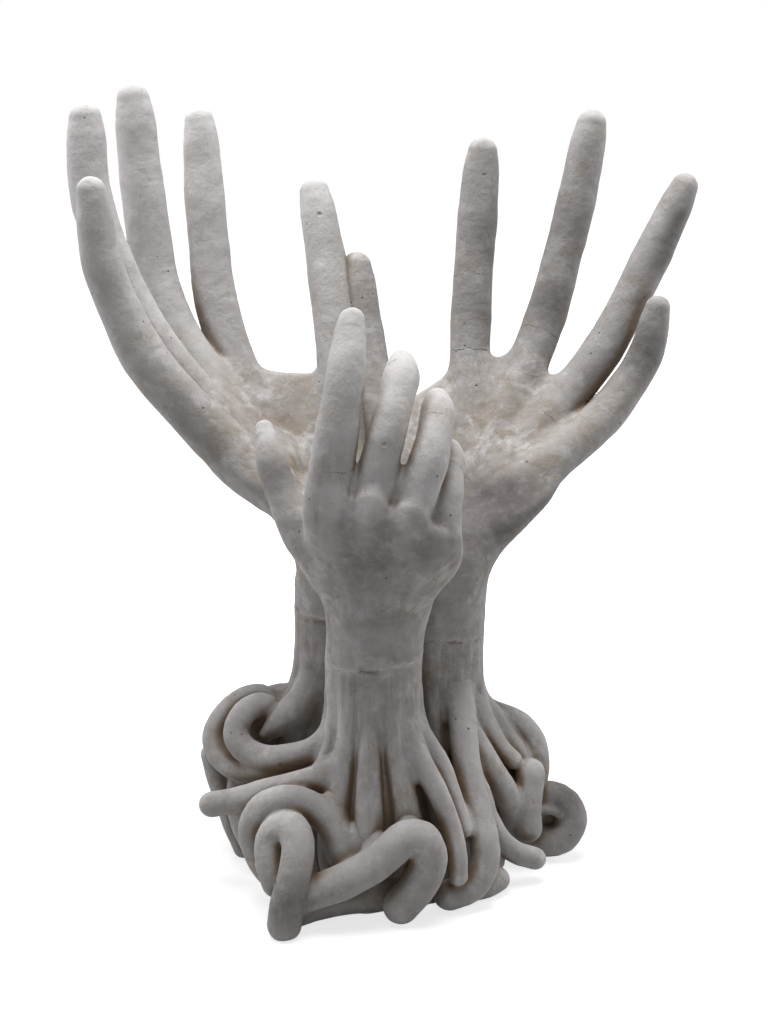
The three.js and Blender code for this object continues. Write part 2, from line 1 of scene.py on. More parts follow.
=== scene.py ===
"""Three open plaster hands on fluted wrists that run out into coiled roots.

Each casting is a field of distances on a grid, in millimetres, below zero inside the plaster. Fields
are joined with a rounded union, and the surface where the field is zero is the finished skin.
"""

import math
from itertools import product

import bpy
import numpy as np
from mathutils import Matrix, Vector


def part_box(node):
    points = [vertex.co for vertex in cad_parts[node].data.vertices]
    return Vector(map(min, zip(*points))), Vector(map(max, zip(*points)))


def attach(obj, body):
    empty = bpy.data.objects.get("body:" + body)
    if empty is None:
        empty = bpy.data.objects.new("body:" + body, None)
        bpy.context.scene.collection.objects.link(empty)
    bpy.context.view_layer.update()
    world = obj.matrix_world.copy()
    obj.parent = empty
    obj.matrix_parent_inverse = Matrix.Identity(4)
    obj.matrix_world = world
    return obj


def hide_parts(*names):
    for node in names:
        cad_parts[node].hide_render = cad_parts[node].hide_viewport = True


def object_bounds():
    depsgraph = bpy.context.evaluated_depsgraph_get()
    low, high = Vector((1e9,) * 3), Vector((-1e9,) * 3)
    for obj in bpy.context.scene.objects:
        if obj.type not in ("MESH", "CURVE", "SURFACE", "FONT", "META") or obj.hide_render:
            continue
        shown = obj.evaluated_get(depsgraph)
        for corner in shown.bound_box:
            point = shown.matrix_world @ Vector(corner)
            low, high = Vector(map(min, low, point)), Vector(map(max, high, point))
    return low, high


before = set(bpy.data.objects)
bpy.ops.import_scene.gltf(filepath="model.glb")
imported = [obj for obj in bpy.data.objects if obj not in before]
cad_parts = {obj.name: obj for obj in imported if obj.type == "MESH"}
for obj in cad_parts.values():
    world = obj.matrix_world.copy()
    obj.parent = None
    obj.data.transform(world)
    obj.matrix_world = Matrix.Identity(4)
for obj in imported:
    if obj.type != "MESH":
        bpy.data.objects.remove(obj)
cad_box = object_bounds()

bl_info = {
    "name": "Plaster hands",
    "version": (1, 0, 0),
    "blender": (4, 5, 0),
    "location": "3D View > Sidebar > Plaster hands",
    "description": "Makes the hands, wrists, roots and stage of a plaster table sculpture",
    "category": "Add Mesh",
}

MM = 0.001
FAR = 24.0  # the distance that is written where nothing is near

# The three arms, in millimetres and degrees.
# heading, slope and roll: the bearing of the palm from the wrist, how far it rises, and its turn about
#     its own length. A thumb side of 1 puts the thumb to the left of the hand's back.
# palm and span: from the wrist to the knuckles, and over the roots of the fingers.
# breadth, thickness, hollow, belly, heel and wrist_width: the section of the palm, how much it is
#     dished, how full it is behind the dish and at the heel, and the width of the wrist as a share.
# web and thumb_web: how far the skin between two digits reaches along their first bones, as shares.
#     The last number of thumb_web is its slack.
# knuckle_ahead, knuckle_rise and dimples: the arch of the knuckles and the dips between them.
# pale (painted light and wear): heights above the ground, and how pale (above zero) or dark (below zero) the
# hand is painted at each. This is painted light towards the lit fingertips, painted shade low on the right
# palm, and whiter wear.
# Each digit: how far its three bones turn towards the thumb, how far they lift towards the palm side,
#     their lengths, and the radii at the three joints and the tip.
# seam, seam_tilt, foot and foot_radius: the middle of the wrist seam and its tilt, and the middle and
#     radius of the foot.
# flutes: the bearing of each ridge of the wrist, and how far it drifts on the way down.
ARMS = {
    "front": {
        "wrist": (-3, -30, 143), "heading": 278, "slope": 60, "roll": 12, "thumb_side": 1,
        "palm": 57, "span": 51, "breadth": 74, "thickness": 24, "hollow": 0.25, "heel": 0,
        "web": (0.6, 0.74, 0.42), "thumb_web": (1.08, 0.4, 0.14), "thumb_across": 0.44, "skin": 15,
        "knuckle_ahead": 8, "knuckle_rise": 4.2, "dimples": 2, "wrist_width": 1, "belly": 1.1,
        "painted_light_and_wear": ((190, 235, 290), (0, 0.35, 0.75)),
        "thumb": ((42, 45, 44), (13, 46, 62), (29, 31, 24), (11.5, 9.2, 7.2, 5.4)),
        "index": ((0, -2, 1), (22, 46, 67), (41, 32, 28), (11.6, 9.7, 8.4, 7.3)),
        "middle": ((-8, -18, -8), (29, 67, 105), (38, 30, 25.5), (9.8, 8.6, 8.4, 7.4)),
        "ring": ((-16, -16, -12), (31, 76, 108), (32, 26.5, 22.5), (9.8, 9.0, 8.0, 7)),
        "little": ((-4, -4, -2), (49, 86, 109), (23, 19.5, 18.5), (8.5, 7.6, 7, 5.9)),
        "seam": (-5, -29, 117), "seam_tilt": (0.1, 0.0), "foot": (-3, -32), "foot_radius": 35,
        "flutes": ((178, -6), (205, -8), (232, -6), (263, 0), (297, 3), (334, 6), (2, 8)),
    },
    "right": {
        "wrist": (26, 12, 155), "heading": 52, "slope": 37, "roll": 2, "thumb_side": -1,
        "palm": 79, "span": 51, "breadth": 80, "thickness": 27, "hollow": 0.5, "heel": 1,
        "web": (0.74, 0.7, 0.58), "thumb_web": (1.08, 0.58, 0.01), "thumb_across": 0.41, "skin": 12,
        "knuckle_ahead": 0, "knuckle_rise": 2.4, "dimples": 0.8, "wrist_width": 1.1, "belly": 1.1,
        "painted_light_and_wear": ((158, 182, 205, 330, 375), (-0.05, -0.6, 0.05, -0.05, 0.25)),
        "thumb": ((48, 31.5, 22), (22, 32, 39), (49, 53, 45), (15, 12, 10.6, 8.8)),
        "index": ((15.6, 11.8, 8), (31, 35, 38), (64, 52, 44.5), (11, 10.5, 10.4, 9.4)),
        "middle": ((-1.2, 1, -1.5), (19, 28, 38), (72, 61, 51), (10.8, 10.4, 10.1, 9.3)),
        "ring": ((-12.2, -12.2, -13.6), (5, 23, 28), (69, 57, 47), (10.8, 10.4, 9.7, 8.4)),
        "little": ((-14.2, -14, -10.5), (-8, 14, 42), (48, 37, 33.5), (11.8, 10.2, 8.9, 7.7)),
        "seam": (27, 12, 118), "seam_tilt": (-0.04, 0.0), "foot": (31, 13), "foot_radius": 34,
        "flutes": ((10, 8), (45, 8), (85, 6), (262, -4), (299, 0), (338, 6)),
    },
    "left": {
        "wrist": (-18, 16, 162), "heading": 155, "slope": 39, "roll": -7, "thumb_side": 1,
        "palm": 82, "span": 53, "breadth": 78, "thickness": 28, "hollow": 0.5, "heel": 2,
        "web": (0.57, 0.42, 0.36), "thumb_web": (1.15, 0.44, 0.04), "thumb_across": 0.41, "skin": 12,
        "knuckle_ahead": 0, "knuckle_rise": 2.4, "dimples": 0.8, "wrist_width": 1.19, "belly": 0.88,
        "painted_light_and_wear": ((215, 265, 330), (0, 0.5, 0.85)),
        "thumb": ((30, 17.5, 10), (35, 35, 35), (56, 61, 55), (14, 11.8, 10.7, 9)),
        "index": ((6.2, 6.5, 5.2), (26, 40, 43), (68, 55, 47), (11.8, 10.9, 10.3, 8.9)),
        "middle": ((4.9, -0.9, -2.2), (11, 39, 44), (74, 63, 52.5), (12.4, 11.9, 11.1, 10)),
        "ring": ((-12, -7, 0), (13, 27, 44), (72, 60, 51), (10.2, 10.2, 10.2, 9.5)),
        "little": ((-16, -14.5, -12.5), (10, 28, 44), (62, 48, 44), (12.2, 11.3, 9.8, 8.1)),
        "seam": (-23, 17, 127), "seam_tilt": (-0.12, 0.0), "foot": (-29, 17), "foot_radius": 34,
        "flutes": ((95, 6), (130, 4), (165, 0), (198, -4), (228, -6)),
    },
}
KNUCKLES = {"index": 0.51, "middle": 0.17, "ring": -0.17, "little": -0.49}  # places as shares of the span
KNUCKLE_DIPS = (0.34, 0, -0.33)  # the dips between them, in the same way
THUMB_ROOT = {"reach": 0.26, "rise": 6}  # as a share of the palm's length, and in millimetres
THUMB_WEB_THICKNESS = 13
DIGIT_ROOT = 0.35  # how far a digit runs on inside the palm, as a share of the way to the wrist
TIP_NARROWING, TIP_LENGTH = 0.16, 15  # how much slimmer a digit ends, and over what length
WEB_SAG = 0.12
# How far the palm, the thumb's mound, the webs and the digits are rounded into what is there already.
PALM_BLEND, MOUND_BLEND, WEB_BLEND, DIGIT_BLEND = 1, 9, 4, 5.5
# The lines of the palm: places along and across it, as shares of its length and span, and the width.
PALM_LINES = (
    (((0.1, 0.05), (0.45, 0.1), (0.75, 0.28), (0.86, 0.55)), 2.2),
    (((0.86, 0.5), (0.72, 0.15), (0.6, -0.25), (0.52, -0.5)), 2.0),
    (((0.97, 0.3), (0.86, 0.05), (0.76, -0.25), (0.74, -0.62)), 2.0),
)
CORD_WIDTH = 2.6
WRIST_TAPER = 0.985  # the section halfway from the seam to the wrist, as a share of the seam's
SEAM_BREADTH, SEAM_THICKNESS = 47, 43
SEAM_LAP = 1.4  # how far a hand and its wrist run past their seam, so that it shows as a broken line only
SEAM_ROUNDING, GROUND_ROUNDING = 0.2, 0.6
# How a wrist widens: heights as shares of the seam's height, and how far the column has gone there
# from the seam's section (0) to the foot's (1).
PROFILE = (
    (1.06, 0), (0.92, -0.03), (0.82, 0), (0.74, 0.08), (0.64, 0.25), (0.54, 0.48), (0.44, 0.7),
    (0.34, 0.86), (0.22, 0.88), (0.1, 0.66), (-0.1, 0.4),
)
FLUTE_RISE = 6  # how far a ridge stands out at the foot
MOUND = {"centre": (-2, 4), "reach": 64, "height": 24, "crown": 0.5}
SHRINK = 0.45  # how much smaller a root's neighbours are taken where it is joined with them
LEAD_RADII = (0.5, 0.85)  # how slim the last two places of a root are where it leaves a wrist

# The stage, in metres: where the lamps are turned to, and the radius of the floor. The camera's sensor
# is in millimetres, and the height of the picture in pixels.
LAMP_AIM = (0, 0, 0.18)
FLOOR_RADIUS = 4.0
SENSOR = 36
PICTURE_HEIGHT = 1024

# The roots: places along the middle of each strand, and its radius at both ends.
ROOTS = {
    "front_left_leg": ((7.2, 7.7), (
        (-50, -74, 21), (-53, -71, 30), (-53, -68, 39), (-49, -68, 45), (-43, -72, 47), (-40, -77, 42),
        (-40.5, -82, 33), (-42.5, -85, 24), (-45, -87, 15), (-46, -88, 6))),
    "front_left_loop": ((6.8, 7), (
        (-16, -67, 22), (-20, -64, 35), (-26, -61, 46), (-36, -60, 54), (-47, -59, 56), (-57, -57, 51),
        (-62, -54, 41), (-62, -50, 31), (-58, -47, 19), (-51, -45, 8))),
    "front_arch": ((7.8, 8.6), (
        (-37, -80, 17), (-27, -80, 20.5), (-17, -79, 24.5), (-6, -77, 30), (3, -75, 37),
        (10.5, -73, 42.5), (17.5, -73, 42), (21, -73, 32), (17, -73, 20), (8, -73, 9))),
    "front_ground": ((7, 7.5), (
        (-40, -76, 7), (-30, -70, 8), (-19, -66, 8.5), (-6, -63, 9), (6, -62, 10))),
    "left_stub": ((6.2, 6), (
        (-18, -41, 78), (-24, -46, 66), (-38, -47, 60), (-55, -40, 53), (-70, -34, 46), (-84, -29, 41))),
    "left_thick": ((7.6, 7), (
        (-29, 8, 108), (-34, 3, 95), (-40, -1, 85), (-47, -5, 79), (-55, -8, 74), (-63, -11, 69))),
    "left_inner_loop": ((5.8, 6.2), (
        (-35, 11, 86), (-42, 8, 75), (-52, 4, 76), (-61, 0, 82), (-69, -6, 80), (-73, -11, 72),
        (-69, -17, 66), (-60, -23, 63.5), (-49, -29, 65.5), (-39, -33, 71), (-30, -35, 82))),
    "left_outer_loop": ((5.6, 5.6), (
        (-38, 17, 84), (-45, 17, 74), (-54, 16, 77), (-62, 14, 82), (-70, 10, 82), (-79, 5, 76),
        (-85, 1, 66), (-82, -4, 57), (-74, -11, 53), (-63, -19, 54), (-51, -27, 56), (-40, -33, 60))),
    "left_slip": ((4.2, 5), (
        (-37, 11, 94), (-43, 9, 84), (-50, 6, 77), (-58, 3, 75), (-63, 3, 68), (-64, 6, 59),
        (-60, 9, 52))),
    "left_low": ((5, 5), (
        (-87, 6, 54), (-84, 5, 41), (-80, 3, 29), (-76, 1, 17), (-71, 0, 6))),
    "left_behind": ((5, 5), (
        (-71, -9, 50), (-73, -10, 40), (-72, -13, 28), (-67, -16, 16), (-61, -20, 6))),
    "right_drop": ((6.2, 7.2), (
        (32, 4, 105), (36, -2, 94), (38, -9, 84), (39, -20, 72), (41, -33, 58), (45, -44, 43),
        (48, -50, 32), (48, -54, 21), (42, -57, 11), (31, -60, 8))),
    "front_flank": ((5, 4.8), (
        (4, -35, 104), (9, -41, 88), (18, -50, 71), (26, -57, 57), (31, -61, 45), (34, -64, 33),
        (35, -65, 20))),
    "front_sliver": ((4.4, 4.6), (
        (15, -30, 96), (20, -35, 82), (27, -41, 67), (33, -48, 52), (38, -53, 39))),
    "right_stub": ((5.6, 5.4), (
        (35, -7, 78), (39, -17, 63), (46, -28, 48), (50, -32, 36), (56, -33, 25), (64, -31, 17),
        (74, -27, 12))),
    "right_ground": ((6, 6), (
        (42, -48, 6), (49, -45, 6), (55, -40, 7))),
    "right_knob": ((7, 7.2), (
        (73, -5, 48), (72, -7, 39), (71, -9, 30), (71.5, -10, 21))),
    "right_curl": ((7.8, 8), (
        (74, 2, 12), (82, 0.5, 9.5), (90, 0.5, 11.5), (94.5, 2, 19.5), (91.5, 4, 27.5), (84, 5, 31),
        (77, 7, 26), (79, 10, 20), (84, 11, 18))),
    "right_arc": ((5.4, 5), (
        (42, 16, 87), (48, 17, 76), (58, 16, 72), (69, 13, 68), (76, 10, 60), (78, 6, 50), (77, 3, 41))),
    "right_upper": ((4.2, 4.2), (
        (44, 10, 97), (49, 10, 84), (56, 9, 73), (62, 7, 64), (68, 5, 56), (71, 3, 49))),
    "right_middle": ((4.4, 4.4), (
        (41, 3, 95), (46, 1, 82), (51, -1, 71), (57, -3, 62), (64, -5, 55))),
    "right_broad": ((6, 6.4), (
        (37, -1, 89), (41, -7, 75), (48, -13, 62), (54, -15, 52), (60, -14, 42), (63, -11, 31),
        (62, -7, 20))),
    "back_left": ((6.5, 6), (
        (-29, 31, 99), (-32, 37, 85), (-38, 46, 68), (-47, 55, 52), (-58, 58, 36), (-69, 53, 22),
        (-75, 42, 10), (-75, 29, 6))),
    "back_left_loop": ((6.5, 7.5), (
        (-36, 23, 90), (-43, 26, 79), (-52, 29, 76), (-62, 31, 72), (-71, 31, 62), (-77, 29, 50),
        (-79, 25, 37), (-78, 19, 25), (-73, 13, 13))),
    "back_middle": ((6.5, 6.5), (
        (-15, 30, 95), (-12, 35, 81), (-10, 47, 64), (-15, 58, 48), (-24, 67, 32), (-36, 71, 17),
        (-48, 68, 6.5))),
    "back_right_loop": ((6, 6.5), (
        (22, 27, 95), (21, 32, 82), (19, 44, 66), (12, 56, 52), (3, 66, 38), (2, 75, 24), (11, 79, 12),
        (24, 77, 6.5))),
    "back_right": ((6.5, 6), (
        (35, 24, 97), (38, 29, 84), (46, 40, 66), (53, 51, 50), (54, 60, 34), (48, 68, 20),
        (39, 70, 8))),
    "back_curl": ((6, 6), (
        (41, 19, 86), (48, 23, 73), (58, 27, 60), (67, 30, 47), (73, 32, 34), (80, 31, 21), (86, 27, 11),
        (86, 19, 6.5))),
}

# Thin folds that lie along some roots, written in the same way.
FOLDS = {
    "right_curl": ((2.6, 2.2), (
        (69, -3, 28), (78, -3.5, 28.5), (86, -2.5, 26.5), (91, -1, 21.5), (89, 1, 16))),
}

# Painted light and shade, mixed with darkening and paling from handling. Painted shade (below zero) sits as
# on the back of the front hand and where that hand shades the right palm. Painted light (above zero) sits as
# on the tops of the knuckles. The place and how far it reaches, in millimetres, and the amount.
HANDLING_AND_PAINTED_LIGHT = (
    ((44, 7, 175), 19, -1), ((57, 18, 188), 11, -0.5), ((48, 103, 303), 17, -0.5),
    ((47, 92, 265), 14, -0.4), ((51, 116, 343), 8, -0.35), ((96, 103, 305), 18, -0.5),
    ((85, 89, 271), 14, -0.9), ((154, 95, 313), 7, -0.6), ((148, 93, 303), 8, -0.6),
    ((143, 92, 291), 8, -0.6), ((140, 99, 313), 6, 0.4), ((105, 68, 235), 14, -0.4),
    ((130, 69, 248), 15, -0.85), ((137, 71, 271), 8, -0.35), ((-91, 88, 307), 14, -0.3),
    ((-130, 6, 288), 20, -0.25), ((-93, 3, 226), 24, -0.3), ((-63, 58, 224), 16, -0.3),
    ((-34, 101, 321), 14, 0.5), ((-30, 87, 287), 12, 0.3), ((-137, 7, 330), 10, -0.35),
    ((-16, -50, 280), 9, -0.75), ((-22, -67, 249), 13, -0.55), ((-26, -71, 218), 9, -0.45),
    ((3, -66, 235), 9, -0.3), ((24, -44, 242), 7, -0.3), ((0, -70, 206), 10, 0.7),
    ((-20, -72, 206), 9, 0.65), ((18, -66, 206), 9, 0.5), ((-6, -64, 172), 20, -0.7),
    ((25, -64, 175), 9, -0.3), ((-36, -57, 187), 7, 0.4), ((-48, -32, 209), 14, -0.95),
    ((-6, -51, 132), 18, 0.2), ((-25, -42, 90), 8, 0.4), ((15, -43, 90), 8, 0.25),
    ((-9, -60, 66), 10, -0.4), ((7, -78, 49), 8, 0.5), ((-46, -93, 19), 18, -0.8),
    ((-39, -62, 62), 10, -0.3), ((-73, -21, 69), 13, -0.5), ((-82, -35, 46), 9, -0.3),
    ((92, 2, 35), 15, -1), ((72, -12, 45), 9, 0.4), ((43, -54, 39), 9, 0.7), ((61, -38, 21), 10, -0.35),
    ((-14, 55, 215), 14, -0.6), ((12, 35, 205), 14, -0.6),
)

# Hairline cracks round the digits: the hand and digit, how far along it, and the reach in millimetres.
CRACKS = (
    ("right", "index", 0.30, 13), ("right", "index", 0.56, 12), ("right", "middle", 0.36, 12),
    ("right", "middle", 0.2, 12), ("right", "ring", 0.12, 13), ("right", "little", 0.3, 10),
    ("left", "thumb", 0.5, 9), ("left", "index", 0.05, 13), ("left", "middle", 0.1, 13),
    ("left", "middle", 0.42, 10), ("left", "ring", 0.55, 10), ("left", "little", 0.22, 12),
    ("front", "index", 0.3, 12), ("front", "index", 0.62, 9), ("front", "middle", 0.86, 12),
    ("front", "ring", 0.72, 9),
)
HAIRLINE = 0.4  # the width of a crack
SEAM_REACH = 34  # how far from the wrist's middle the line of its seam shows

# Rust that has bled through the seams: centre, direction, reach and width, in millimetres.
SEAM_STAINS = (
    ((-6, -51, 116.5), (0, 0, 1), 7, 2.2), ((6, -50, 121.5), (0.3, 0, 1), 3, 1.4),
    ((-34, 0, 126.5), (0, 0, 1), 9, 2.6), ((-42, 8, 129), (0.2, 0, 1), 4, 1.4),
    ((36, -6, 117.5), (0, 0, 1), 7, 1.8), ((47, 0, 116.5), (0, 0, 1), 5, 1.4),
)


# Curves and fields

def smooth_path(places, spacing):
    """Points about `spacing` apart on a smooth curve through the places, and where each place falls.

    Between two places the curve is a cubic whose end tangents follow the places on either side,
    each weighted by the square root of its distance."""
    places = np.asarray(places, float)
    ends = np.vstack([2 * places[0] - places[1], places, 2 * places[-1] - places[-2]])
    gaps = np.sqrt(np.maximum(np.linalg.norm(np.diff(ends, axis=0), axis=1), 1e-6))
    points, marks = [], [0]
    for n in range(1, len(ends) - 2):
        before, a, b, after = ends[n - 1:n + 3]
        g0, g1, g2 = gaps[n - 1:n + 2]
        leave = ((a - before) / g0 - (b - before) / (g0 + g1) + (b - a) / g1) * g1
        arrive = ((b - a) / g1 - (after - a) / (g1 + g2) + (after - b) / g2) * g1
        count = max(2, int(round(np.linalg.norm(b - a) / spacing)))
        t = (np.arange(count) / count)[:, None]
        points.append((2 * t**3 - 3 * t**2 + 1) * a + (t**3 - 2 * t**2 + t) * leave
                      + (3 * t**2 - 2 * t**3) * b + (t**3 - t**2) * arrive)
        marks.append(marks[-1] + count)
    return np.vstack([*points, places[-1:]]), marks


def lengths_along(path):
    """How far along the path each of its points is."""
    return np.concatenate([[0], np.cumsum(np.linalg.norm(np.diff(path, axis=0), axis=1))])


WHOLE = (slice(None),) * 3


class Block:
    """Grid points over a box, `step` apart, and the distance of each from the plaster."""

    def __init__(self, low, high, step):
        first = np.floor(np.asarray(low, float) / step)
        last = np.ceil(np.asarray(high, float) / step)
        self.step = step
        self.low = first * step
        self.axes = [(np.arange(a, b + 1) * step).astype(np.float32) for a, b in zip(first, last)]
        self.field = np.full([len(axis) for axis in self.axes], FAR, np.float32)

    def empty_copy(self):
        """A block over the same points with nothing in it.

        Its box is asked for a little smaller, so that rounding never adds a row of points."""
        inset = 0.25 * self.step
        low = [axis[0] + inset for axis in self.axes]
        high = [axis[-1] - inset for axis in self.axes]
        return Block(low, high, self.step)

    def window(self, low, high):
        """The slices of the grid that cover a box."""
        return tuple(slice(*np.searchsorted(axis, (a, b))) for axis, a, b in zip(self.axes, low, high))

    def grid(self, window):
        """The x, y and z of a window's points, ready to spread over one another."""
        return np.meshgrid(*[axis[part] for axis, part in zip(self.axes, window)], indexing="ij", sparse=True)

    def join(self, window, values, blend):
        """Rounded union: the lesser distance, less a quarter of the blend where the two are equal."""
        part = self.field[window]
        near = np.maximum(blend - np.abs(part - values), 0) / blend
        self.field[window] = np.minimum(part, values) - near * near * blend / 4

    def trim(self, window, values, blend):
        """Rounded intersection with the inside of another field."""
        part = self.field[window]
        near = np.maximum(blend - np.abs(part - values), 0) / blend
        self.field[window] = np.maximum(part, values) + near * near * blend / 4

    def cut_below(self, height):
        """Takes away what is below a height."""
        self.trim(WHOLE, height - self.grid(WHOLE)[2], GROUND_ROUNDING)

    def sample(self, points):
        """The field at any points, going evenly between the eight grid points around each."""
        place = (points - self.low) / self.step
        limit = np.array(self.field.shape) - 2
        base = np.clip(np.floor(place).astype(int), 0, limit)
        part = np.clip(place - base, 0, 1)
        total = np.zeros(len(points))
        for corner in product((0, 1), repeat=3):
            at = base + corner
            weight = np.prod(np.where(corner, part, 1 - part), axis=1)
            total += weight * self.field[at[:, 0], at[:, 1], at[:, 2]]
        return total


def strand_field(block, path, radii, reach, dress=None):
    """Distance to a strand: that to the nearest place on the path, less the strand's radius there.

    `radii` gives the radius at each point of the path. `dress` changes it by the length along the
    path and the way out from it. Returns the window and the distances in it."""
    margin = max(radii) + reach
    window = block.window(path.min(0) - margin, path.max(0) + margin)
    shape = [part.stop - part.start for part in window]
    best = np.full(shape, 1e6, np.float32)
    length = np.zeros(shape, np.float32)
    out = [np.zeros(shape, np.float32) for _ in range(3)]
    stations = lengths_along(path)
    for a, b, start, stop in zip(path[:-1], path[1:], stations[:-1], stations[1:]):
        box = block.window(np.minimum(a, b) - margin, np.maximum(a, b) + margin)
        inner = tuple(slice(p.start - w.start, p.stop - w.start) for p, w in zip(box, window))
        grid = block.grid(box)
        way = b - a
        share = sum((axis - np.float32(p)) * np.float32(w) for axis, p, w in zip(grid, a, way))
        share = np.clip(share / np.float32(way @ way), 0, 1)
        offset = [axis - np.float32(p) - share * np.float32(w) for axis, p, w in zip(grid, a, way)]
        square = offset[0] ** 2 + offset[1] ** 2 + offset[2] ** 2
        closer = square < best[inner]
        np.copyto(best[inner], square, where=closer)
        np.copyto(length[inner], start + share * np.float32(stop - start), where=closer)
        for kept, new in zip(out, offset):
            np.copyto(kept[inner], new, where=closer)
    values = np.full(shape, FAR, np.float32)
    near = best < margin * margin
    distance = np.sqrt(best[near])
    radius = np.interp(length[near], stations, radii)
    if dress is not None:
        away = np.stack([part[near] for part in out], 1) / np.maximum(distance, 1e-3)[:, None]
        radius = radius + dress(length[near], away)
    values[near] = distance - radius
    return window, values


def loft_field(block, stations, reach):
    """Distance to a body lofted through oval sections.

    Each station has a centre, directions forward, across and out, half a breadth and thickness, a
    hollow that thins the section on its out side, and an arc that sets its middle ahead of its edges.
    Within a section the distance is that of an oval: with k the length of (x/a, y/b) and m that of
    (x/a2, y/b2), where a2 and b2 are a and b squared, it is k (k - 1) / m."""
    centres = np.array([s["centre"] for s in stations])
    margin = max(s["half"][0] for s in stations) + reach
    window = block.window(centres.min(0) - margin, centres.max(0) + margin)
    values = np.full([part.stop - part.start for part in window], FAR, np.float32)
    for one, two in zip(stations[:-1], stations[1:]):
        span = max(one["half"][0], two["half"][0]) + reach
        low = np.minimum(one["centre"], two["centre"]) - span
        high = np.maximum(one["centre"], two["centre"]) + span
        box = block.window(low, high)
        inner = tuple(slice(p.start - w.start, p.stop - w.start) for p, w in zip(box, window))
        grid = block.grid(box)

        def dot(station, name):
            return sum((axis - np.float32(c)) * np.float32(d)
                       for axis, c, d in zip(grid, station["centre"], station[name]))

        def between(name, share):
            return one[name] + (two[name] - one[name]) * share

        sideways = dot(one, "across") / one["half"][0]
        bow = (knuckle_reach(np.clip(sideways, -1, 1) / 2) - 1) * one["arc"]
        behind = dot(one, "forward") - bow
        ahead = dot(two, "forward") - bow
        share = np.clip(behind / np.maximum(behind - ahead, 1e-3), 0, 1)
        past = np.maximum(np.maximum(-behind, ahead), 0)
        x = dot(one, "across") * (1 - share) + dot(two, "across") * share
        y = dot(one, "out") * (1 - share) + dot(two, "out") * share
        a = one["half"][0] + (two["half"][0] - one["half"][0]) * share
        b = one["half"][1] + (two["half"][1] - one["half"][1]) * share
        dish = 1 - between("hollow", share) * np.maximum(1 - (x / a) ** 2, 0)
        b = np.where(y > 0, b * dish, b)
        k = np.sqrt((x / a) ** 2 + (y / b) ** 2)
        m = np.sqrt((x / a**2) ** 2 + (y / b**2) ** 2)
        oval = k * (k - 1) / np.maximum(m, 1e-4)
        oval = np.maximum(oval, -np.minimum(a, b))
        found = np.where(past > 0, np.hypot(np.maximum(oval, 0), past), oval)
        np.minimum(values[inner], found.astype(np.float32), out=values[inner])
    return window, values


def unit(vector):
    """The same direction with length 1."""
    return vector / np.linalg.norm(vector)


def value_noise(points, size, seed):
    """Smooth noise from -1 to 1: random values on a lattice `size` apart, eased from one to the next."""
    lattice = np.random.default_rng(seed).uniform(-1, 1, (32, 32, 32))
    place = np.asarray(points) / size
    base = np.floor(place).astype(int)
    part = place - base
    part = part * part * (3 - 2 * part)
    total = np.zeros(len(place))
    for corner in product((0, 1), repeat=3):
        at = (base + corner) % 32
        total += np.prod(np.where(corner, part, 1 - part), axis=1) * lattice[at[:, 0], at[:, 1], at[:, 2]]
    return total


# From a field to a finished skin

def zero_surface(block):
    """Points and four-sided faces where the field is zero.

    Every grid cell that the surface crosses has one point, at the mean of the places where the
    surface crosses the cell's edges. Every grid edge that it crosses has one face, from the points of
    the four cells around the edge."""
    field = block.field
    inside = field < 0
    cells = tuple(n - 1 for n in field.shape)
    count = np.zeros(cells, np.int8)
    for corner in product((0, 1), repeat=3):
        count += inside[tuple(slice(c, c + n) for c, n in zip(corner, cells))]
    crossed = (count > 0) & (count < 8)
    where = np.argwhere(crossed)
    index = np.full(cells, -1, np.int32)
    index[crossed] = np.arange(len(where))
    values = {c: field[tuple((where + c).T)] for c in product((0, 1), repeat=3)}
    total = np.zeros((len(where), 3))
    hits = np.zeros(len(where))
    for axis in range(3):
        for start in values:
            if start[axis]:
                continue
            stop = tuple(1 if n == axis else c for n, c in enumerate(start))
            a, b = values[start], values[stop]
            cut = (a < 0) != (b < 0)
            share = np.where(cut, a / np.where(cut, a - b, 1), 0)
            place = np.tile(np.array(start, float), (len(where), 1))
            place[:, axis] = share
            total += place * cut[:, None]
            hits += cut
    points = block.low + block.step * (where + total / hits[:, None])
    faces = []
    for axis in range(3):
        low = [slice(None)] * 3
        high = [slice(None)] * 3
        low[axis] = slice(0, -1)
        high[axis] = slice(1, None)
        change = inside[tuple(low)] != inside[tuple(high)]
        edges = np.argwhere(change)
        u, v = (axis + 1) % 3, (axis + 2) % 3
        edges = edges[(edges[:, u] > 0) & (edges[:, v] > 0)]
        edges = edges[(edges[:, u] < cells[u]) & (edges[:, v] < cells[v])]
        step_u, step_v = np.eye(3, dtype=int)[u], np.eye(3, dtype=int)[v]
        ring = [edges - step_u - step_v, edges - step_v, edges, edges - step_u]
        quads = np.stack([index[tuple(cell.T)] for cell in ring], 1)
        outward = inside[tuple(edges.T)]
        faces.append(np.where(outward[:, None], quads, quads[:, ::-1]))
    return points, np.vstack(faces)


def largest_part(points, faces):
    """The points and faces of the largest connected part of a surface, without its loose bits.

    Every point takes the lowest number among the points that it shares a face with, again and again,
    until all the points of a part have one number."""
    number = np.arange(len(points))
    while True:
        lowest = number.copy()
        np.minimum.at(lowest, faces.ravel(), np.repeat(number[faces].min(1), 4))
        lowest = lowest[lowest]
        if (lowest == number).all():
            break
        number = lowest
    kept = number == np.bincount(number).argmax()
    renumber = np.cumsum(kept) - 1
    return points[kept], renumber[faces[kept[faces[:, 0]]]]


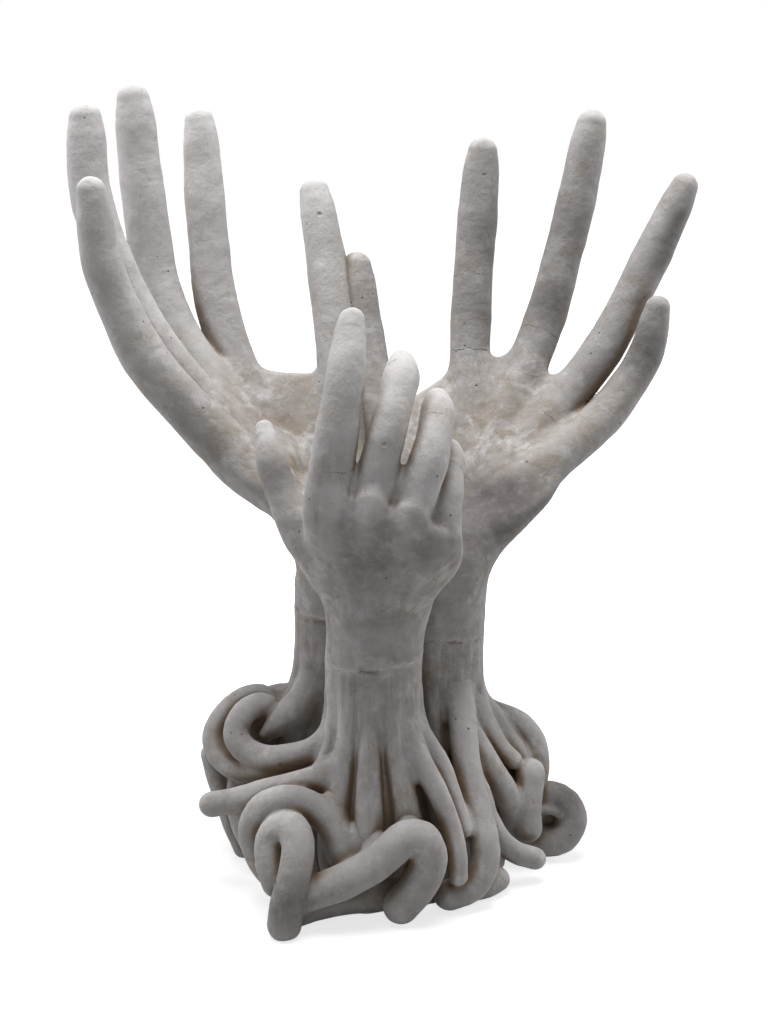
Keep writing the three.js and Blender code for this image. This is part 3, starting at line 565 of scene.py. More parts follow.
def neighbour_mean(values, faces):
    """For each point, the mean of a value over the points that share an edge with it."""
    total = np.zeros_like(values, dtype=float)
    count = np.zeros(len(values))
    for n in range(4):
        a, b = faces[:, n], faces[:, (n + 1) % 4]
        for here, there in ((a, b), (b, a)):
            if values.ndim == 1:
                total += np.bincount(here, values[there], len(values))
            else:
                for axis in range(values.shape[1]):
                    total[:, axis] += np.bincount(here, values[there, axis], len(values))
            count += np.bincount(here, minlength=len(values))
    count = np.maximum(count, 1)
    return total / (count if values.ndim == 1 else count[:, None])


def point_normals(points, faces):
    """The outward direction at each point: the sum of its faces' crossed diagonals, made unit."""
    cross = np.cross(points[faces[:, 2]] - points[faces[:, 0]], points[faces[:, 3]] - points[faces[:, 1]])
    total = np.zeros_like(points)
    for n in range(4):
        for axis in range(3):
            total[:, axis] += np.bincount(faces[:, n], cross[:, axis], len(points))
    return total / np.maximum(np.linalg.norm(total, axis=1), 1e-9)[:, None]


def settle(block, points, faces, rounds=2):
    """Evens the points out and puts them back on the zero surface, a step down the field's slope."""
    for _ in range(rounds):
        points = 0.4 * points + 0.6 * neighbour_mean(points, faces)
        normals = point_normals(points, faces)
        points = points - normals * np.clip(block.sample(points), -0.5, 0.5)[:, None]
    return points


def hand_worked(points, amount):
    """How far each point stands off a smooth form, from the plaster being worked by hand.

    The sum of broad waves, dabs with ridges between them, fine waves and grit."""
    broad = value_noise(points, 17, 3) * 0.6
    dabs = np.abs(value_noise(points, 9, 7)) * 0.5 - 0.2
    fine = value_noise(points, 5.5, 4) * 0.3
    grit = value_noise(points, 2.4, 5) * 0.12
    return amount * (broad + dabs + fine + grit)


def handling_and_painted_light(points):
    """How dark or pale each point is painted, for light, shade and handling: the listed amounts, fading with
    distance as bells.
    """
    total = np.zeros(len(points))
    for place, reach, amount in HANDLING_AND_PAINTED_LIGHT:
        total += amount * np.exp(-((points - place) ** 2).sum(1) / reach**2)
    return total


def shade_masks(points, faces, normals, surroundings):
    """How hidden each point is by the plaster around it, and how much it stands out as an edge.

    Hidden: at a few distances along the way out, how much nearer the plaster is than that distance.
    Edge: how far the point stands above the mean of the points around it, over some rounds."""
    hidden = np.zeros(len(points))
    reaches = ((3, 0.3), (6, 0.3), (11, 0.25), (18, 0.15))
    for reach, weight in reaches:
        clear = surroundings.sample(points + normals * reach)
        hidden += weight * np.clip((reach - clear) / reach, 0, 1)
    wide = points
    for _ in range(6):
        wide = neighbour_mean(wide, faces)
    stand = np.einsum("ij,ij->i", points - wide, normals)
    for _ in range(2):
        stand = neighbour_mean(stand, faces)
    return hidden, stand


def make_piece(name, points, faces, attributes, material, slot, *nodes):
    """A smooth mesh object, in metres, that rides on the frame and stands for its CAD nodes."""
    mesh = bpy.data.meshes.new(name)
    mesh.vertices.add(len(points))
    mesh.vertices.foreach_set("co", (points * MM).astype(np.float32).ravel())
    mesh.loops.add(faces.size)
    mesh.loops.foreach_set("vertex_index", faces.astype(np.int32).ravel())
    mesh.polygons.add(len(faces))
    mesh.polygons.foreach_set("loop_start", np.arange(0, faces.size, 4, dtype=np.int32))
    mesh.update(calc_edges=True)
    mesh.shade_smooth()
    for key, values in attributes.items():
        layer = mesh.attributes.new(key, "FLOAT", "POINT")
        layer.data.foreach_set("value", values.astype(np.float32))
    mesh.materials.append(material)
    piece = bpy.data.objects.new(name, mesh)
    bpy.context.scene.collection.objects.link(piece)
    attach(piece, "root")
    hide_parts(*nodes)
    return piece


def cast(name, block, surroundings, amount, material, slot, nodes, extra=None):
    """Takes the skin off a field, works it by hand and makes it a piece."""
    points, faces = largest_part(*zero_surface(block))
    points = settle(block, points, faces)
    normals = point_normals(points, faces)
    points = points + normals * hand_worked(points, amount)[:, None]
    points[:, 2] = np.maximum(points[:, 2], 0)
    hidden, edge = shade_masks(points, faces, normals, surroundings)
    # The third mask is painted light and shade, mixed with handling and wear.
    masks = {"hollow": hidden, "edge": edge, "painted_light_and_wear": handling_and_painted_light(points)}
    if extra is not None:
        for key, values in extra(points, normals).items():
            masks[key] = masks.get(key, 0) + values
    return make_piece(name, points, faces, masks, material, slot, *nodes)


# The hands

def palm_axes(arm):
    """Forward along the palm, across to the thumb and out of the palm, as unit directions."""
    heading, slope, roll = (math.radians(arm[key]) for key in ("heading", "slope", "roll"))
    level = np.array([math.cos(heading), math.sin(heading), 0])
    up = np.array([0, 0, 1.0])
    forward = level * math.cos(slope) + up * math.sin(slope)
    out = up * math.cos(slope) - level * math.sin(slope)
    across = np.cross(forward, out) * arm["thumb_side"]
    sine, cosine = math.sin(roll), math.cos(roll)
    return forward, across * cosine + out * sine, out * cosine - across * sine


def knuckle_reach(across):
    """How far the knuckle line reaches at a place across the palm, as a share of the palm's length."""
    return 1 - 0.36 * (across - 0.2) ** 2


def turned(vectors, forward, share):
    """The directions turned towards upright: not at all at share 1, wholly at share 0."""
    up = np.array([0, 0, 1.0])
    axis = np.cross(forward, up)
    angle = math.atan2(np.linalg.norm(axis), forward @ up) * (1 - share)
    axis = unit(axis)
    sine, cosine = math.sin(angle), math.cos(angle)
    return [v * cosine + np.cross(axis, v) * sine + axis * (axis @ v) * (1 - cosine) for v in vectors]


def digit_joints(arm, name, axes):
    """The places of a digit's joints, from its root to the middle of its round tip."""
    forward, across, out = axes
    wrist = np.array(arm["wrist"], float)
    if name == "thumb":
        place = (wrist + forward * THUMB_ROOT["reach"] * arm["palm"]
                 + across * arm["thumb_across"] * arm["span"] + out * THUMB_ROOT["rise"])
    else:
        share = KNUCKLES[name]
        place = wrist + forward * knuckle_reach(share) * arm["palm"] + across * share * arm["span"]
    joints = [place]
    spreads, lifts, bones, radii = arm[name]
    for n, (spread, lift, bone) in enumerate(zip(spreads, lifts, bones)):
        spread, lift = math.radians(spread), math.radians(lift)
        length = bone - radii[-1] if n == 2 else bone
        place = place + length * (math.cos(lift) * (math.cos(spread) * forward + math.sin(spread) * across)
                                  + math.sin(lift) * out)
        joints.append(place)
    return joints


def bump(length, at, width):
    """A rounded hump of height 1 at a length along a digit."""
    return np.exp(-(((length - at) / width) ** 2))


def add_digit(digits, arm, name, axes, form):
    """One finger: fuller at its joints and pads, creased across its palm side, with a faint nail."""
    wrist = np.array(arm["wrist"], float)
    joints = digit_joints(arm, name, axes)
    radii = arm[name][3]
    places = [joints[0] + (wrist - joints[0]) * DIGIT_ROOT, *joints]
    path, marks = smooth_path(places, 4)
    stations = lengths_along(path)
    at = stations[marks]
    taper = np.interp(stations, at, [radii[0], *radii])
    taper = taper * (1 - TIP_NARROWING * np.clip((stations - at[4] + TIP_LENGTH) / TIP_LENGTH, 0, 1) ** 2)
    outward = axes[2]
    tangents = np.gradient(path, axis=0)
    tangents /= np.linalg.norm(tangents, axis=1)[:, None]
    palmward = outward - tangents * (tangents @ outward)[:, None]
    palmward /= np.linalg.norm(palmward, axis=1)[:, None]
    scale = radii[2] / 9
    nail = at[4] - 7 * scale

    def dress(length, away):
        side = np.stack([np.interp(length, stations, palmward[:, n]) for n in range(3)], 1)
        facing = np.einsum("ij,ij->i", side, away)
        front, back = np.maximum(facing, 0), np.maximum(-facing, 0)
        joint = bump(length, at[2], 7 * scale) + bump(length, at[3], 6 * scale)
        pads = (bump(length, (at[1] + at[2]) / 2, 9 * scale) + bump(length, (at[2] + at[3]) / 2, 7 * scale)
                + 0.5 * bump(length, at[4] - 6 * scale, 9 * scale))
        creases = (bump(length, at[2], 1.3) + bump(length, at[3] + 0.5, 1.2)
                   + 0.6 * bump(length, at[3] - 2.6, 1.1))
        slim = bump(length, (at[1] + at[2]) / 2, 12 * scale) + bump(length, (at[2] + at[3]) / 2, 9 * scale)
        nail_rim = bump(length, nail, 0.9) * np.clip(2 * back - 1, 0, 1)
        nail_plate = np.clip((length - nail) / 1.5, 0, 1) * np.clip(2.4 * back - 1.6, 0, 1)
        return scale * (form.joints * joint * (1 - 0.5 * front) - 0.35 * slim * (1 - front)
                        + form.pads * pads * front**2 - form.creases * creases * front
                        - 0.35 * nail_rim + 0.15 * nail_plate)

    window, values = strand_field(digits, path, taper, 9, dress)
    digits.join(window, values, 1.6)
    return joints


def palm_stations(arm, axes):
    """Sections from the wrist seam to just past the knuckles, set close together on a smooth run."""
    forward, across, out = axes
    wrist = np.array(arm["wrist"], float)
    seam = np.array(arm["seam"], float)
    half = np.array([arm["breadth"], arm["thickness"]]) / 2
    base = np.array([SEAM_BREADTH, SEAM_THICKNESS]) / 2
    heel = -out * arm["heel"] / 2
    extra = np.array([0, arm["heel"] / 2])
    hollow = arm["hollow"]

    def on_palm(share):
        return wrist + forward * share * arm["palm"]

    # centre, turn towards the palm, half breadth and thickness, hollow, bow of the knuckle line
    sections = [
        (seam + (0, 0, -3), 0, base, 0, 0),
        (seam + (wrist - seam) * 0.5, 0.2, base * WRIST_TAPER * (0.4 + 0.6 * arm["wrist_width"]), 0, 0),
        (wrist + heel, 0.6, base * 1.1 * arm["wrist_width"] + extra, 0, 0),
        (on_palm(0.22) + heel, 1, half * (0.7, 1.3) + extra, hollow * 0.3, 0.1),
        (on_palm(0.45), 1, half * (0.88, arm["belly"]), hollow, 0.3),
        (on_palm(0.7), 1, half, hollow, 0.6),
        (on_palm(0.95), 1, half * (0.98, 0.8), hollow * 0.6, 1),
        (on_palm(1.1), 1, half * (0.9, 0.55), 0, 1),
    ]
    rows = np.array([[*centre, turn, *size, dish, bow] for centre, turn, size, dish, bow in sections])
    path, marks = smooth_path(rows[:, :3], 5)
    share = np.interp(np.arange(len(path)), marks, np.arange(len(rows)))
    fine = np.stack([np.interp(share, np.arange(len(rows)), rows[:, n]) for n in range(rows.shape[1])], 1)
    for _ in range(2):
        fine[1:-1, 3:] = (fine[:-2, 3:] + 2 * fine[1:-1, 3:] + fine[2:, 3:]) / 4
    stations = []
    for centre, row in zip(path, fine):
        ahead, aside, away = turned((forward, across, out), forward, row[3])
        stations.append({"centre": centre, "forward": ahead, "across": aside, "out": away, "half": row[4:6],
                         "hollow": row[6], "arc": row[7] * arm["palm"]})
    return stations


def add_web(block, one, other, thickness, sag):
    """Skin between two lines: cords from one line to the other, thinner and slacker towards the edge."""
    away = unit(np.subtract(one[1], one[0]) + np.subtract(other[1], other[0]))
    for share in np.linspace(0.1, 1, 12):
        a = one[0] + (one[1] - one[0]) * share
        b = other[0] + (other[1] - other[0]) * share
        t = np.linspace(0, 1, 7)[:, None]
        drop = sag * share * (np.linalg.norm(one[1] - one[0]) + np.linalg.norm(other[1] - other[0])) / 2
        path = a + (b - a) * t - away * drop * 4 * t * (1 - t)
        radius = thickness / 2 * np.interp(share, (0, 0.33, 0.67, 1), (1, 1, 0.85, 0.5))
        window, values = strand_field(block, path, np.full(len(path), radius), 8)
        block.join(window, values, 5)


def groove_map(x, u, routes):
    """Depth of the palm's lines at places ahead (x) and across (u): 1 on a route, fading to 0 beside it."""
    depth = 0
    for route, width in routes:
        path, _ = smooth_path([(a, b, 0) for a, b in route], 3)
        best = 1e6
        for (ax, ay, _), (bx, by, _) in zip(path[:-1], path[1:]):
            wx, wy = bx - ax, by - ay
            share = np.clip(((x - ax) * wx + (u - ay) * wy) / (wx * wx + wy * wy), 0, 1)
            best = np.minimum(best, (x - ax - share * wx) ** 2 + (u - ay - share * wy) ** 2)
        depth = np.maximum(depth, np.exp(-best / width**2))
    return depth


def hand_field(block, arm, form):
    """A hand above its wrist seam: palm, thumb mound, knuckles, fingers and the skin between."""
    axes = palm_axes(arm)
    _, across, out = axes
    wrist = np.array(arm["wrist"], float)
    window, values = loft_field(block, palm_stations(arm, axes), 14)
    block.join(window, values, PALM_BLEND)
    digits = block.empty_copy()
    joints = {name: add_digit(digits, arm, name, axes, form) for name in ("thumb", *KNUCKLES)}

    def line(name, reach):
        root, first = joints[name][0], joints[name][1]
        return root + (wrist - root) * DIGIT_ROOT, root + (first - root) * reach

    skin = block.empty_copy()
    names = list(KNUCKLES)
    for one, other, reach in zip(names[:-1], names[1:], arm["web"]):
        add_web(skin, line(one, reach), line(other, reach), arm["skin"], WEB_SAG)
    reach, index_reach, sag = arm["thumb_web"]
    add_web(skin, line("thumb", reach), line("index", index_reach), THUMB_WEB_THICKNESS, sag)
    # The thumb's mound, on the palm side.
    thumb = joints["thumb"]
    side = arm["thickness"] / 28
    mound = [wrist + across * arm["span"] * 0.2 + out * 3, thumb[0] + out * 2,
             thumb[0] + (thumb[1] - thumb[0]) * 0.7]
    path, _ = smooth_path(mound, 4)
    radii = np.interp(np.linspace(0, 1, len(path)), (0, 0.5, 1), (10 * side, 15.5 * side, 11 * side))
    window, values = strand_field(block, path, radii, 14)
    block.join(window, values, MOUND_BLEND)
    block.join(WHOLE, skin.field, WEB_BLEND)
    block.join(WHOLE, digits.field, DIGIT_BLEND)
    add_relief(block, arm, axes, form)
    grid = block.grid(WHOLE)
    block.trim(WHOLE, seam_height(arm, grid) - SEAM_LAP - grid[2], SEAM_ROUNDING)


def add_relief(block, arm, axes, form):
    """The lines of the palm, the cords on the back of the hand, and the knuckles with the dips between.

    Each is a height that is added to the distances near the surface, below zero where it stands out."""
    wrist = np.array(arm["wrist"], float)
    palm, span = arm["palm"], arm["span"]
    reach = 1.3 * palm
    window = block.window(wrist - reach, wrist + reach)
    grid = block.grid(window)
    x, u, v = (sum((axis - np.float32(c)) * np.float32(d) for axis, c, d in zip(grid, wrist, way))
               for way in axes)
    routes = [([(a * palm, b * span) for a, b in places], width) for places, width in PALM_LINES]
    near = np.abs(block.field[window]) < 7
    shape = near.shape
    x, u, v = (np.broadcast_to(part, shape)[near] for part in (x, u, v))
    lines = groove_map(x, u, routes) * np.clip(v / 3 + 0.5, 0, 1) * form.palm_lines
    cords = 0
    for share in KNUCKLES.values():
        route = ((0.2 * palm, share * span * 0.45), (knuckle_reach(share) * palm, share * span))
        cords = np.maximum(cords, groove_map(x, u, [(route, CORD_WIDTH)]))
    cords = cords * np.clip(-v / 3 - 0.5, 0, 1) * np.clip((1.02 * palm - x) / 12, 0, 1) * form.cords
    # The arch of the knuckles falls away faster ahead than behind.
    ahead = x - knuckle_reach(u / span) * palm - arm["knuckle_ahead"]
    arch = np.exp(-((ahead / np.where(ahead > 0, 13, 24)) ** 2))
    inner = np.clip(1 - (np.abs(u) / (0.6 * span)) ** 3, 0, 1)
    back = np.clip(-v / 4 - 0.2, 0, 1) * inner
    dips = 0
    for share in KNUCKLE_DIPS:
        dips = np.maximum(dips, np.exp(-((ahead / 8) ** 2) - ((u - share * span) / 4.5) ** 2))
    patch = block.field[window]
    patch[near] += lines - cords + back * (arm["dimples"] * dips - arm["knuckle_rise"] * arch)


def seam_height(arm, grid):
    """The height of the wrist seam, which tilts and wanders a little across the wrist."""
    x, y = grid[0] - arm["seam"][0], grid[1] - arm["seam"][1]
    wander = 0.3 * np.sin(x / 5.1 + 1) + 0.2 * np.sin(y / 4.3) + 0.1 * np.sin((x + y) / 2.4)
    return arm["seam"][2] + arm["seam_tilt"][0] * x + arm["seam_tilt"][1] * y + wander


# The wrists, mound and roots

def forearm_field(block, arm, form):
    """A wrist below its seam: an upright oval column that widens downward, with ridges down it.

    The column's distance is that from its middle line less a radius that follows the height. Each
    ridge is a strand that leaves the column below the wrist and stands out more as it goes down."""
    seam = np.array(arm["seam"], float)
    heights, spreads = np.array(PROFILE)[::-1].T
    levels = np.linspace(-0.1, 1.06, 40)
    spread = np.interp(levels, heights, spreads)
    for _ in range(3):
        spread[1:-1] = (spread[:-2] + 2 * spread[1:-1] + spread[2:]) / 4
    z = levels * seam[2]
    out = np.maximum(spread, 0)
    foot = np.array(arm["foot"], float)
    across = turned(palm_axes(arm), palm_axes(arm)[0], 0)[1]
    turn = math.atan2(across[1], across[0])
    reach = arm["foot_radius"] + FLUTE_RISE + 10
    low = (min(seam[0], foot[0]) - reach, min(seam[1], foot[1]) - reach, -4)
    high = (max(seam[0], foot[0]) + reach, max(seam[1], foot[1]) + reach, seam[2] + 6)
    window = block.window(low, high)
    gx, gy, gz = block.grid(window)
    s, o = np.interp(gz, z, spread), np.interp(gz, z, out)
    dx = gx - (seam[0] + (foot[0] - seam[0]) * o)
    dy = gy - (seam[1] + (foot[1] - seam[1]) * o)
    angle = np.arctan2(dy, dx) - turn
    oval = np.hypot(np.cos(angle) * SEAM_BREADTH, np.sin(angle) * SEAM_THICKNESS) / 2
    relief = np.clip((0.88 - gz / seam[2]) / 0.3, 0, 1)
    relief = relief * relief * (3 - 2 * relief)
    radius = oval + (arm["foot_radius"] - oval) * s - form.valley * relief
    # The sides slope, so the distance is a little less than the level one.
    block.join(window, (np.hypot(dx, dy) - radius) * 0.86, 1)
    for bearing, drift in arm["flutes"]:
        keep = (levels > -0.08) & (levels < 0.97)
        share = out[keep]
        thick = form.ridge * (0.85 + 0.5 * share)
        way = np.radians(bearing + drift * share)
        oval = np.hypot(np.cos(way - turn) * SEAM_BREADTH, np.sin(way - turn) * SEAM_THICKNESS) / 2
        crest = oval + (arm["foot_radius"] - oval) * spread[keep] + FLUTE_RISE * share
        sunk = 3 * np.clip((levels[keep] - 0.84) / 0.12, 0, 1)
        centre = seam[:2, None] + (foot - seam[:2])[:, None] * share
        path = np.stack([centre[0] + np.cos(way) * (crest - thick - sunk),
                         centre[1] + np.sin(way) * (crest - thick - sunk), z[keep]], 1)
        ridge, values = strand_field(block, path, thick, 8)
        block.join(ridge, values, form.ridge_blend)
    # The foot ends on the ground, or inside the mound where the block ends there.
    block.cut_below(max(0, block.low[2] + 1.5 * block.step))
    grid = block.grid(WHOLE)
    block.trim(WHOLE, grid[2] - seam_height(arm, grid) - SEAM_LAP, SEAM_ROUNDING)


def mound_field(block):
    """The mound: an upturned bowl with a flat underside, as the distance to a squashed ball."""
    middle_x, middle_y = MOUND["centre"]
    reach, crown, height = MOUND["reach"], MOUND["crown"], MOUND["height"]
    low = (middle_x - reach - 12, middle_y - reach - 12, -4)
    high = (middle_x + reach + 12, middle_y + reach + 12, height + 12)
    window = block.window(low, high)
    x, y, z = block.grid(window)
    out = np.maximum(np.hypot(x - middle_x, y - middle_y) - reach * crown, 0)
    a, b = reach * (1 - crown), height
    k = np.sqrt((out / a) ** 2 + (z / b) ** 2)
    m = np.sqrt((out / a**2) ** 2 + (z / b**2) ** 2)
    block.join(window, k * (k - 1) / np.maximum(m, 1e-4), 1)
    block.cut_below(0)


def column_middle(arm, height):
    """The middle of a wrist's column at a height: it leans from the seam's centre to the foot's."""
    heights, spreads = np.array(PROFILE)[::-1].T
    out = max(np.interp(height / arm["seam"][2], heights, spreads), 0)
    seam, foot = np.array(arm["seam"][:2], float), np.array(arm["foot"], float)
    return np.array([*(seam + (foot - seam) * out), height])


def root_path(name, form):
    """A smooth path along a root, and its radii. An end high on a wrist is slimmer and sunk into it."""
    radii, places = ROOTS[name]
    places = [np.array(place, float) for place in places]
    radii = list(np.linspace(radii[0], radii[1], len(places)))
    for end, inward in ((0, 1), (-1, -1)):
        if places[end][2] < form.lead_from:
            continue
        radii[end] *= LEAD_RADII[0]
        radii[end + inward] *= LEAD_RADII[1]
        for place, depth in ((end, form.sink), (end + inward, 0.45 * form.sink)):
            middles = [column_middle(arm, places[place][2]) for arm in ARMS.values()]
            middle = min(middles, key=lambda each: np.linalg.norm(each - places[place]))
            places[place] = places[place] + unit(middle - places[place]) * depth
    path, marks = smooth_path(places, 3.5)
    return path, np.interp(np.arange(len(path)), marks, radii) * form.root_fullness


def root_strand(block, name, form):
    """The bare strand of a root, with its folds, as distances on a block."""
    path, radii = root_path(name, form)
    window, values = strand_field(block, path, radii, 9)
    block.join(window, values, 0.5)
    if name in FOLDS:
        ends, places = FOLDS[name]
        path, _ = smooth_path(places, 2)
        window, values = strand_field(block, path, np.linspace(*ends, len(path)), 6)
        block.join(window, values, 1)


class Trunk:
    """What stands round each root, on a coarse grid: the wrists, and the nearest other strand."""

    def __init__(self, form, low, high, step):
        self.wrists = Block(low, high, step)
        for arm in ARMS.values():
            part = self.wrists.empty_copy()
            forearm_field(part, arm, form)
            self.wrists.field = np.minimum(self.wrists.field, part.field)
        self.first = self.wrists.empty_copy()
        mound_field(self.first)
        self.second = self.wrists.empty_copy()
        self.owner = np.full(self.first.field.shape, -1)
        for n, name in enumerate(ROOTS):
            part = self.wrists.empty_copy()
            root_strand(part, name, form)
            nearer = part.field < self.first.field
            self.second.field = np.where(nearer, self.first.field, np.minimum(self.second.field, part.field))
            self.owner[nearer] = n
            self.first.field = np.where(nearer, part.field, self.first.field)

    def beside(self, name):
        """The mound and all roots but one."""
        block = self.wrists.empty_copy()
        block.field = np.where(self.owner == list(ROOTS).index(name), self.second.field, self.first.field)
        return block


def root_block(name, trunk, form, step):
    """A root with the plaster drawn up where it leaves a wrist and where it lies on other roots.

    The strand is joined with what stands round it, kept a little below its surface, and only what
    is within a few millimetres of the strand is kept."""
    path, radii = root_path(name, form)
    margin = radii.max() + form.fillet_reach + 2
    low, high = path.min(0) - margin, path.max(0) + margin
    low[2] = max(low[2], -2 * step)
    block = Block(low, high, step)
    root_strand(block, name, form)
    strand = block.field.copy()
    near = np.abs(strand) < form.fillet_reach + 3
    points = np.stack(np.meshgrid(*block.axes, indexing="ij"), -1)[near]
    values = strand[near]
    for other, blend in ((trunk.wrists, form.wrist_fillet), (trunk.beside(name), form.root_fillet)):
        around = other.sample(points) + SHRINK
        close = np.maximum(blend - np.abs(values - around), 0) / blend
        values = np.minimum(values, around) - close * close * blend / 4
    values = np.maximum(values, strand[near] - form.fillet_reach)
    block.field[near] = values
    block.cut_below(0)
    return block


# Shared effects for the materials

class Nodes:
    """Adds nodes to a tree and joins them, so that a material reads from top to bottom."""

    def __init__(self, tree):
        self.tree = tree

    def add(self, kind, inputs=None, **settings):
        """A node of a kind. An input is a value, or an output of another node, which is linked."""
        node = self.tree.nodes.new(kind)
        for key, value in settings.items():
            setattr(node, key, value)
        for key, value in (inputs or {}).items():
            if isinstance(value, bpy.types.NodeSocket):
                self.tree.links.new(value, node.inputs[key])
            else:
                node.inputs[key].default_value = value
        return node

    def math(self, operation, a, b=0.0, clamp=False):
        """What a plain operation makes of two values."""
        return self.add("ShaderNodeMath", {0: a, 1: b}, operation=operation, use_clamp=clamp).outputs[0]

    def ramp(self, value, low, high, to_low=0.0, to_high=1.0):
        """Goes from one value to the other as the input goes from low to high."""
        inputs = {"Value": value, "From Min": low, "From Max": high, "To Min": to_low, "To Max": to_high}
        return self.add("ShaderNodeMapRange", inputs, clamp=True).outputs["Result"]

    def noise(self, vector, scale, detail=3.0, roughness=0.5, distortion=0.0):
        """Cloudy values about a half, `scale` clouds to the metre."""
        inputs = {"Vector": vector, "Scale": scale, "Detail": detail, "Roughness": roughness,
                  "Distortion": distortion}
        return self.add("ShaderNodeTexNoise", inputs).outputs["Fac"]

    def mix(self, share, a, b, blend="MIX"):
        """A colour between two, by a share from 0 to 1."""
        inputs = {"Factor": share, 6: a, 7: b}
        return self.add("ShaderNodeMix", inputs, data_type="RGBA", blend_type=blend).outputs[2]


def new_group(name, inputs, outputs):
    """A shader group with named inputs, each with its default, and named outputs."""
    group = bpy.data.node_groups.new(name, "ShaderNodeTree")
    for key, kind, default in inputs:
        socket = group.interface.new_socket(key, in_out="INPUT", socket_type=kind)
        if default is not None:
            socket.default_value = default
    for key, kind in outputs:
        group.interface.new_socket(key, in_out="OUTPUT", socket_type=kind)
    nodes = Nodes(group)
    start = group.nodes.new("NodeGroupInput").outputs
    end = group.nodes.new("NodeGroupOutput").inputs
    return group, nodes, start, end


FLOAT, VECTOR = "NodeSocketFloat", "NodeSocketVector"


def mottle_group():
    """Cloudy patches of two sizes, and the height of a fine grain."""
    group, nodes, start, end = new_group(
        "Plaster mottle",
        [("Vector", VECTOR, None), ("Patch Size", FLOAT, 0.03)],
        [("Broad", FLOAT), ("Fine", FLOAT), ("Grain", FLOAT)])
    scale = nodes.math("DIVIDE", 1.0, start["Patch Size"])
    broad = nodes.noise(start["Vector"], scale, 4, 0.6)
    fine = nodes.noise(start["Vector"], nodes.math("MULTIPLY", scale, 6.0), 4, 0.65)
    grain = nodes.noise(start["Vector"], 900.0, 3, 0.6)
    group.links.new(nodes.ramp(broad, 0.36, 0.64), end["Broad"])
    group.links.new(nodes.ramp(fine, 0.34, 0.66), end["Fine"])
    group.links.new(grain, end["Grain"])
    return group


def pinhole_group():
    """Round holes left by air bubbles: the middles of scattered cells, where a cell is chosen."""
    group, nodes, start, end = new_group(
        "Pinholes",
        [("Vector", VECTOR, None), ("Spacing", FLOAT, 0.006), ("Radius", FLOAT, 0.0004),
         ("Share", FLOAT, 0.3)],
        [("Mask", FLOAT)])
    cells = nodes.add("ShaderNodeTexVoronoi",
                      {"Vector": start["Vector"], "Scale": nodes.math("DIVIDE", 1.0, start["Spacing"])})
    parts = nodes.add("ShaderNodeSeparateColor", {"Color": cells.outputs["Color"]}).outputs
    chosen = nodes.math("LESS_THAN", parts["Red"], start["Share"])
    size = nodes.math("MULTIPLY", start["Radius"], nodes.ramp(parts["Green"], 0, 1, 0.4, 1.6))
    away = nodes.math("MULTIPLY", cells.outputs["Distance"], start["Spacing"])
    inside = nodes.math("SUBTRACT", 1.0, nodes.math("DIVIDE", away, size), clamp=True)
    group.links.new(nodes.math("MULTIPLY", nodes.ramp(inside, 0, 0.5), chosen), end["Mask"])
    return group


def blotch_group():
    """Brown blotches and chalky rubs of a size, and the height of shallow dabs left by the fingers."""
    group, nodes, start, end = new_group(
        "Blotches",
        [("Vector", VECTOR, None), ("Size", FLOAT, 0.02)],
        [("Brown", FLOAT), ("Chalk", FLOAT), ("Dabs", FLOAT)])
    scale = nodes.math("DIVIDE", 1.0, start["Size"])
    drift = nodes.noise(start["Vector"], scale, 5.0, 0.68, 0.6)
    aside = nodes.add("ShaderNodeVectorMath", {0: start["Vector"], 1: (0.31, 0.17, 0.23)}, operation="ADD")
    other = nodes.noise(aside.outputs[0], scale, 5.0, 0.7, 0.4)
    closer = nodes.math("MULTIPLY", scale, 2.0)
    dabs = nodes.add("ShaderNodeTexVoronoi", {"Vector": start["Vector"], "Scale": closer, "Smoothness": 0.6},
                     feature="SMOOTH_F1").outputs["Distance"]
    group.links.new(nodes.ramp(drift, 0.51, 0.64), end["Brown"])
    group.links.new(nodes.ramp(other, 0.53, 0.63), end["Chalk"])
    group.links.new(dabs, end["Dabs"])
    return group


def hairline_group():
    """A fine crack: where a wandering plane meets the surface, within reach of a place."""
    group, nodes, start, end = new_group(
        "Hairline",
        [("Vector", VECTOR, None), ("Wander", FLOAT, 0.0), ("Centre", VECTOR, (0, 0, 0)),
         ("Direction", VECTOR, (0, 0, 1)), ("Reach", FLOAT, 0.012), ("Width", FLOAT, 0.0004)],
        [("Mask", FLOAT)])
    way = nodes.add("ShaderNodeVectorMath", {0: start["Vector"], 1: start["Centre"]}, operation="SUBTRACT")
    off = nodes.add("ShaderNodeVectorMath", {0: way.outputs[0], 1: start["Direction"]},
                    operation="DOT_PRODUCT").outputs["Value"]
    off = nodes.math("ABSOLUTE", nodes.math("ADD", off, start["Wander"]))
    line = nodes.math("SUBTRACT", 1.0, nodes.math("DIVIDE", off, start["Width"]), clamp=True)
    far = nodes.add("ShaderNodeVectorMath", {0: way.outputs[0]}, operation="LENGTH").outputs["Value"]
    near = nodes.math("SUBTRACT", 1.0, nodes.math("DIVIDE", far, start["Reach"]), clamp=True)
    group.links.new(nodes.math("MULTIPLY", line, nodes.ramp(near, 0, 0.2)), end["Mask"])
    return group


def dust_and_shade_group():
    """Brown dust and painted shade, from how hidden a place is, broken up by the mottle."""
    group, nodes, start, end = new_group(
        "Dust and painted shade",
        [("Hollow", FLOAT, 0.0), ("Broad", FLOAT, 0.5), ("Fine", FLOAT, 0.5), ("Amount", FLOAT, 1.0)],
        [("Mask", FLOAT)])
    broad = nodes.math("MULTIPLY", start["Broad"], 0.16)
    fine = nodes.math("MULTIPLY", start["Fine"], 0.12)
    broken = nodes.math("SUBTRACT", nodes.math("ADD", broad, fine), 0.14)
    level = nodes.math("ADD", start["Hollow"], broken)
    mask = nodes.ramp(level, 0.22, 0.85)
    group.links.new(nodes.math("MULTIPLY", mask, start["Amount"], clamp=True), end["Mask"])
    return group


